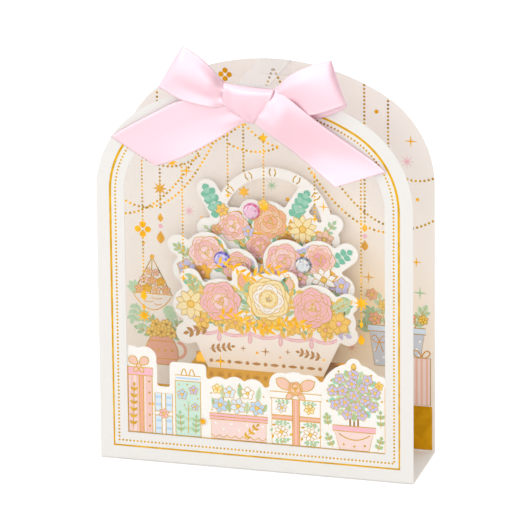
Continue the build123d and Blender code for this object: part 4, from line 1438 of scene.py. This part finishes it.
# Each row is the ribbon's upper and lower edge (across, up) and its depth at five points from edge to
# edge, in millimetres. The ribbon runs smoothly through its rows.
LEFT_TAIL = (
    (-1.5, 143.3, 0.5, 137.7, -19.0, -19.8, -19.2, -19.8, -19.0),
    (-8.6, 144.0, -4.7, 135.4, -18.6, -19.6, -18.9, -19.6, -18.7),
    (-17.7, 144.6, -11.6, 130.5, -18.2, -18.9, -18.8, -19.2, -19.6),
    (-27.8, 142.6, -19.2, 125.6, -18.0, -18.2, -18.3, -19.0, -20.2),
    (-36.8, 137.6, -26.3, 121.5, -17.9, -17.8, -17.9, -18.7, -19.9),
    (-45.9, 132.2, -32.3, 118.6, -17.8, -17.6, -17.6, -18.0, -18.8),
    (-53.9, 126.9, -36.9, 116.8, -17.4, -17.5, -17.5, -17.5, -17.4),
)
RIGHT_TAIL = (
    (3.8, 148.5, -0.2, 139.5, -19.6, -20.2, -19.8, -20.4, -20.0),
    (9.4, 150.7, 3.9, 136.1, -20.4, -22.0, -22.6, -22.8, -21.6),
    (14.1, 148.3, 9.3, 132.3, -21.0, -22.7, -23.4, -23.0, -21.4),
    (20.5, 143.3, 15.1, 127.2, -21.0, -21.4, -20.9, -20.1, -19.2),
    (28.7, 136.8, 20.9, 122.3, -19.8, -19.2, -18.4, -18.2, -18.2),
    (37.4, 130.6, 25.9, 118.7, -18.5, -18.0, -17.9, -18.4, -18.9),
    (45.2, 125.3, 29.5, 116.4, -18.0, -18.1, -18.6, -19.4, -20.1),
    (50.3, 121.4, 31.7, 115.0, -18.2, -18.6, -19.3, -20.1, -20.8),
)
LEFT_LOOP = (
    (-5.8, 148.7, -6.3, 142.9, -19.4, -20.6, -19.4, -20.6, -19.4),
    (-10.3, 151.5, -11.1, 141.9, -19.4, -21.3, -20.0, -20.9, -19.4),
    (-13.6, 155.8, -15.4, 142.3, -19.8, -22.3, -22.4, -20.8, -21.2),
    (-17.9, 160.0, -20.5, 143.2, -20.0, -22.5, -22.8, -21.2, -21.8),
    (-21.6, 162.4, -26.2, 144.5, -19.8, -21.9, -22.6, -21.3, -21.6),
    (-24.5, 163.9, -32.5, 147.1, -19.5, -20.9, -21.3, -20.9, -20.3),
    (-25.7, 164.0, -35.0, 147.8, -18.6, -18.9, -19.0, -18.9, -18.7),
    (-24.8, 163.0, -33.4, 146.3, -17.8, -17.7, -17.7, -17.7, -17.8),
    (-17.8, 157.2, -22.3, 141.8, -17.6, -17.5, -17.5, -17.5, -17.6),
    (-7.8, 149.3, -7.8, 141.3, -17.8, -17.6, -17.6, -17.6, -17.8),
)
RIGHT_LOOP = (
    (5.0, 148.1, 5.4, 142.6, -18.8, -19.6, -18.8, -19.6, -18.6),
    (9.7, 151.1, 10.9, 142.7, -19.4, -20.8, -19.6, -19.8, -18.4),
    (14.0, 155.6, 15.9, 141.8, -20.5, -22.0, -21.4, -19.6, -18.6),
    (19.1, 159.0, 21.6, 141.7, -20.9, -22.6, -22.4, -21.4, -20.5),
    (24.5, 161.3, 27.3, 143.2, -20.6, -22.1, -22.4, -21.9, -21.2),
    (28.8, 162.4, 33.9, 145.7, -19.8, -21.1, -21.3, -21.0, -20.2),
    (30.1, 162.5, 35.7, 146.2, -18.8, -19.0, -19.0, -19.0, -18.7),
    (28.6, 161.2, 34.0, 143.9, -17.9, -17.8, -17.8, -17.8, -17.9),
    (20.2, 156.2, 25.2, 139.9, -17.6, -17.6, -17.6, -17.6, -17.7),
    (8.2, 149.3, 10.2, 138.3, -17.8, -17.6, -17.6, -17.6, -17.8),
)
KNOT = (
    (-9.4, 149.2, 7.8, 148.4, -18.6, -18.4, -18.4, -18.4, -18.6),
    (-10.2, 151.4, 9.2, 150.4, -19.7, -20.4, -20.6, -20.5, -20.0),
    (-10.2, 149.8, 9.1, 149.5, -20.7, -22.3, -22.7, -22.6, -21.8),
    (-10.5, 146.3, 7.9, 146.4, -20.7, -22.7, -23.1, -23.0, -22.2),
    (-9.6, 142.7, 6.7, 143.1, -20.4, -22.7, -22.6, -23.1, -21.6),
    (-6.4, 140.2, 5.3, 140.7, -20.0, -22.2, -21.8, -22.6, -20.9),
    (-3.3, 138.4, 3.5, 138.6, -19.6, -21.4, -20.9, -21.8, -20.2),
    (-1.7, 137.0, 1.7, 137.1, -19.0, -20.2, -20.0, -20.6, -19.5),
    (-1.4, 137.5, 0.9, 137.3, -18.6, -18.8, -18.9, -18.8, -18.6),
)

# Polyester satin: long floats of thread give a soft broad gloss along the ribbon, some light comes
# through, and each edge has a woven selvedge of fine ribs whose crests are painted paler, a painted
# highlight. The threads are drawn three times and the ribs twice as coarse as they are, so that they show.
satin, tree = blank_material("pink_polyester_satin")
spot = add_node(tree, "TexCoord")
cloth = add_node(tree, "SeparateXYZ", links={0: (spot, "UV")})
threads = add_node(
    tree,
    "TexWave",
    {"Scale": 1 / (BANDS_PER_UNIT * THREAD_PITCH), "Distortion": 0.6, "Detail": 1.0},
    {"Vector": (spot, "UV")},
    bands_direction="Y",
)
rib_scale = {"Scale": 1 / (BANDS_PER_UNIT * RIB_PITCH)}
ribs = add_node(tree, "TexWave", rib_scale, {"Vector": (spot, "UV")}, bands_direction="X")
off_middle = add_node(tree, "Math", {1: RIBBON_WIDTH / 2}, {0: (cloth, "Y")}, operation="SUBTRACT")
off_middle = add_node(tree, "Math", links={0: (off_middle, 0)}, operation="ABSOLUTE")
selvedge_start = RIBBON_WIDTH / 2 - SELVEDGE
edging = add_node(
    tree,
    "MapRange",
    {"From Min": selvedge_start - SELVEDGE_STEP, "From Max": selvedge_start},
    {"Value": (off_middle, 0)},
)
rib_height = add_node(tree, "Math", links={0: (ribs, "Fac"), 1: (edging, 0)}, operation="MULTIPLY")
rib_bump = add_node(tree, "Bump", {"Strength": 0.4, "Distance": 0.08 * mm}, {"Height": (rib_height, 0)})
thread_bump = add_node(
    tree,
    "Bump",
    {"Strength": 0.12, "Distance": 0.05 * mm},
    {"Height": (threads, "Fac"), "Normal": (rib_bump, 0)},
)
# Painted highlight: the crests of the selvedge ribs are drawn paler.
tones = {6: linear("#FCC9D9"), 7: linear("#FEE0EA")}
satin_with_painted_rib_highlight = add_node(tree, "Mix", tones, {0: (rib_height, 0)}, data_type="RGBA")
weave = add_node(tree, "Tangent", direction_type="UV_MAP")
cloth_body = add_node(
    tree,
    "BsdfPrincipled",
    {"Roughness": 0.6, "IOR": 1.5, "Sheen Weight": 0.25, "Sheen Tint": linear("#FFF4F8")},
    {"Base Color": (satin_with_painted_rib_highlight, 2), "Normal": (thread_bump, 0)},
)
floats = add_node(
    tree,
    "BsdfAnisotropic",
    {"Color": linear("#FFF2F7"), "Roughness": 0.4, "Anisotropy": 0.5},
    {"Normal": (thread_bump, 0), "Tangent": (weave, 0)},
)
see_through = add_node(tree, "BsdfTranslucent", {"Color": linear("#FFA3BD")}, {"Normal": (thread_bump, 0)})
thin_cloth = add_node(tree, "MixShader", {0: LIGHT_THROUGH}, {1: (cloth_body, 0), 2: (see_through, 0)})
glossed = add_node(tree, "MixShader", {0: GLOSS_SHARE}, {1: (thin_cloth, 0), 2: (floats, 0)})
add_node(tree, "OutputMaterial", links={"Surface": (glossed, 0)})

# Polyester edge: the ribbon's thin edge is painted a deeper colour than its faces, a painted shade along the
# edge.
painted_edge_shade, tree = blank_material("satin_edge_painted_shade")
spot = add_node(tree, "TexCoord")
strands = add_node(tree, "TexNoise", {"Scale": 1 / (THREAD_PITCH * mm)}, {"Vector": (spot, "Object")})
tones = {6: linear("#EFA9BD"), 7: linear("#F7BFCF")}
strand_tint = add_node(tree, "Mix", tones, {0: (strands, "Fac")}, data_type="RGBA")
ends = add_node(tree, "BsdfPrincipled", {"Roughness": 0.7, "IOR": 1.5}, {"Base Color": (strand_tint, 2)})
add_node(tree, "OutputMaterial", links={"Surface": (ends, 0)})


def eased(knots, place):
    """A point on the smooth line through evenly spaced knots."""
    leg = min(int(place), len(knots) - 2)
    t = place - leg
    near = [knots[max(0, min(len(knots) - 1, leg + offset))] for offset in (-1, 0, 1, 2)]
    point = []
    for a, b, c, d in zip(*near):
        point.append(b + t * (c - a + t * (2 * a - 5 * b + 4 * c - d + t * (3 * b - a - 3 * c + d))) / 2)
    return point


def ribbon(name, rows, gather, folds):
    """A length of satin through its rows, with fine gathers that fade away from its first row."""
    corners, spots, faces = [], [], []
    walked, last = 0.0, None
    steps = (len(rows) - 1) * ROW_STEPS
    for step in range(steps + 1):
        row = eased(rows, step / ROW_STEPS)
        upper, lower = Vector((row[0], 0, row[1])), Vector((row[2], 0, row[3]))
        middle = (upper + lower) / 2 + Vector((0, row[6], 0))
        walked += (middle - last).length if last else 0.0
        last = middle
        for cross in range(CROSS_STEPS + 1):
            share = cross / CROSS_STEPS
            depth = eased([[value] for value in row[4:]], 4 * share)[0]
            fade = max(0.0, 1 - walked / GATHER_LENGTH) ** 2
            depth += gather * fade * sin(2 * pi * folds * share + GATHER_PHASE) * sin(pi * share)
            point = upper.lerp(lower, share)
            corners.append(Vector((point.x, depth, point.z)) * mm)
            spots.append((walked, RIBBON_WIDTH * share))
    for step in range(steps):
        for cross in range(CROSS_STEPS):
            here = step * (CROSS_STEPS + 1) + cross
            faces.append((here, here + 1, here + CROSS_STEPS + 2, here + CROSS_STEPS + 1))
    piece = new_piece(name, corners, faces, [satin, painted_edge_shade])
    cloth_map = piece.data.uv_layers.new(name="cloth")
    for loop in piece.data.loops:
        cloth_map.data[loop.index].uv = spots[loop.vertex_index]
    piece.data.shade_smooth()
    body = piece.modifiers.new("ribbon_body", "SOLIDIFY")
    body.thickness = RIBBON_THICKNESS
    body.offset = 0.0
    body.material_offset_rim = 1
    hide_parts("ribbon_bow")
    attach(piece, "root")


ribbon("bow_tail_left", LEFT_TAIL, gather=0.35, folds=3)
ribbon("bow_tail_right", RIGHT_TAIL, gather=0.3, folds=2)
ribbon("bow_loop_left", LEFT_LOOP, gather=0.4, folds=3)
ribbon("bow_loop_right", RIGHT_LOOP, gather=0.4, folds=3)
ribbon("bow_knot", KNOT, gather=0.0, folds=2)
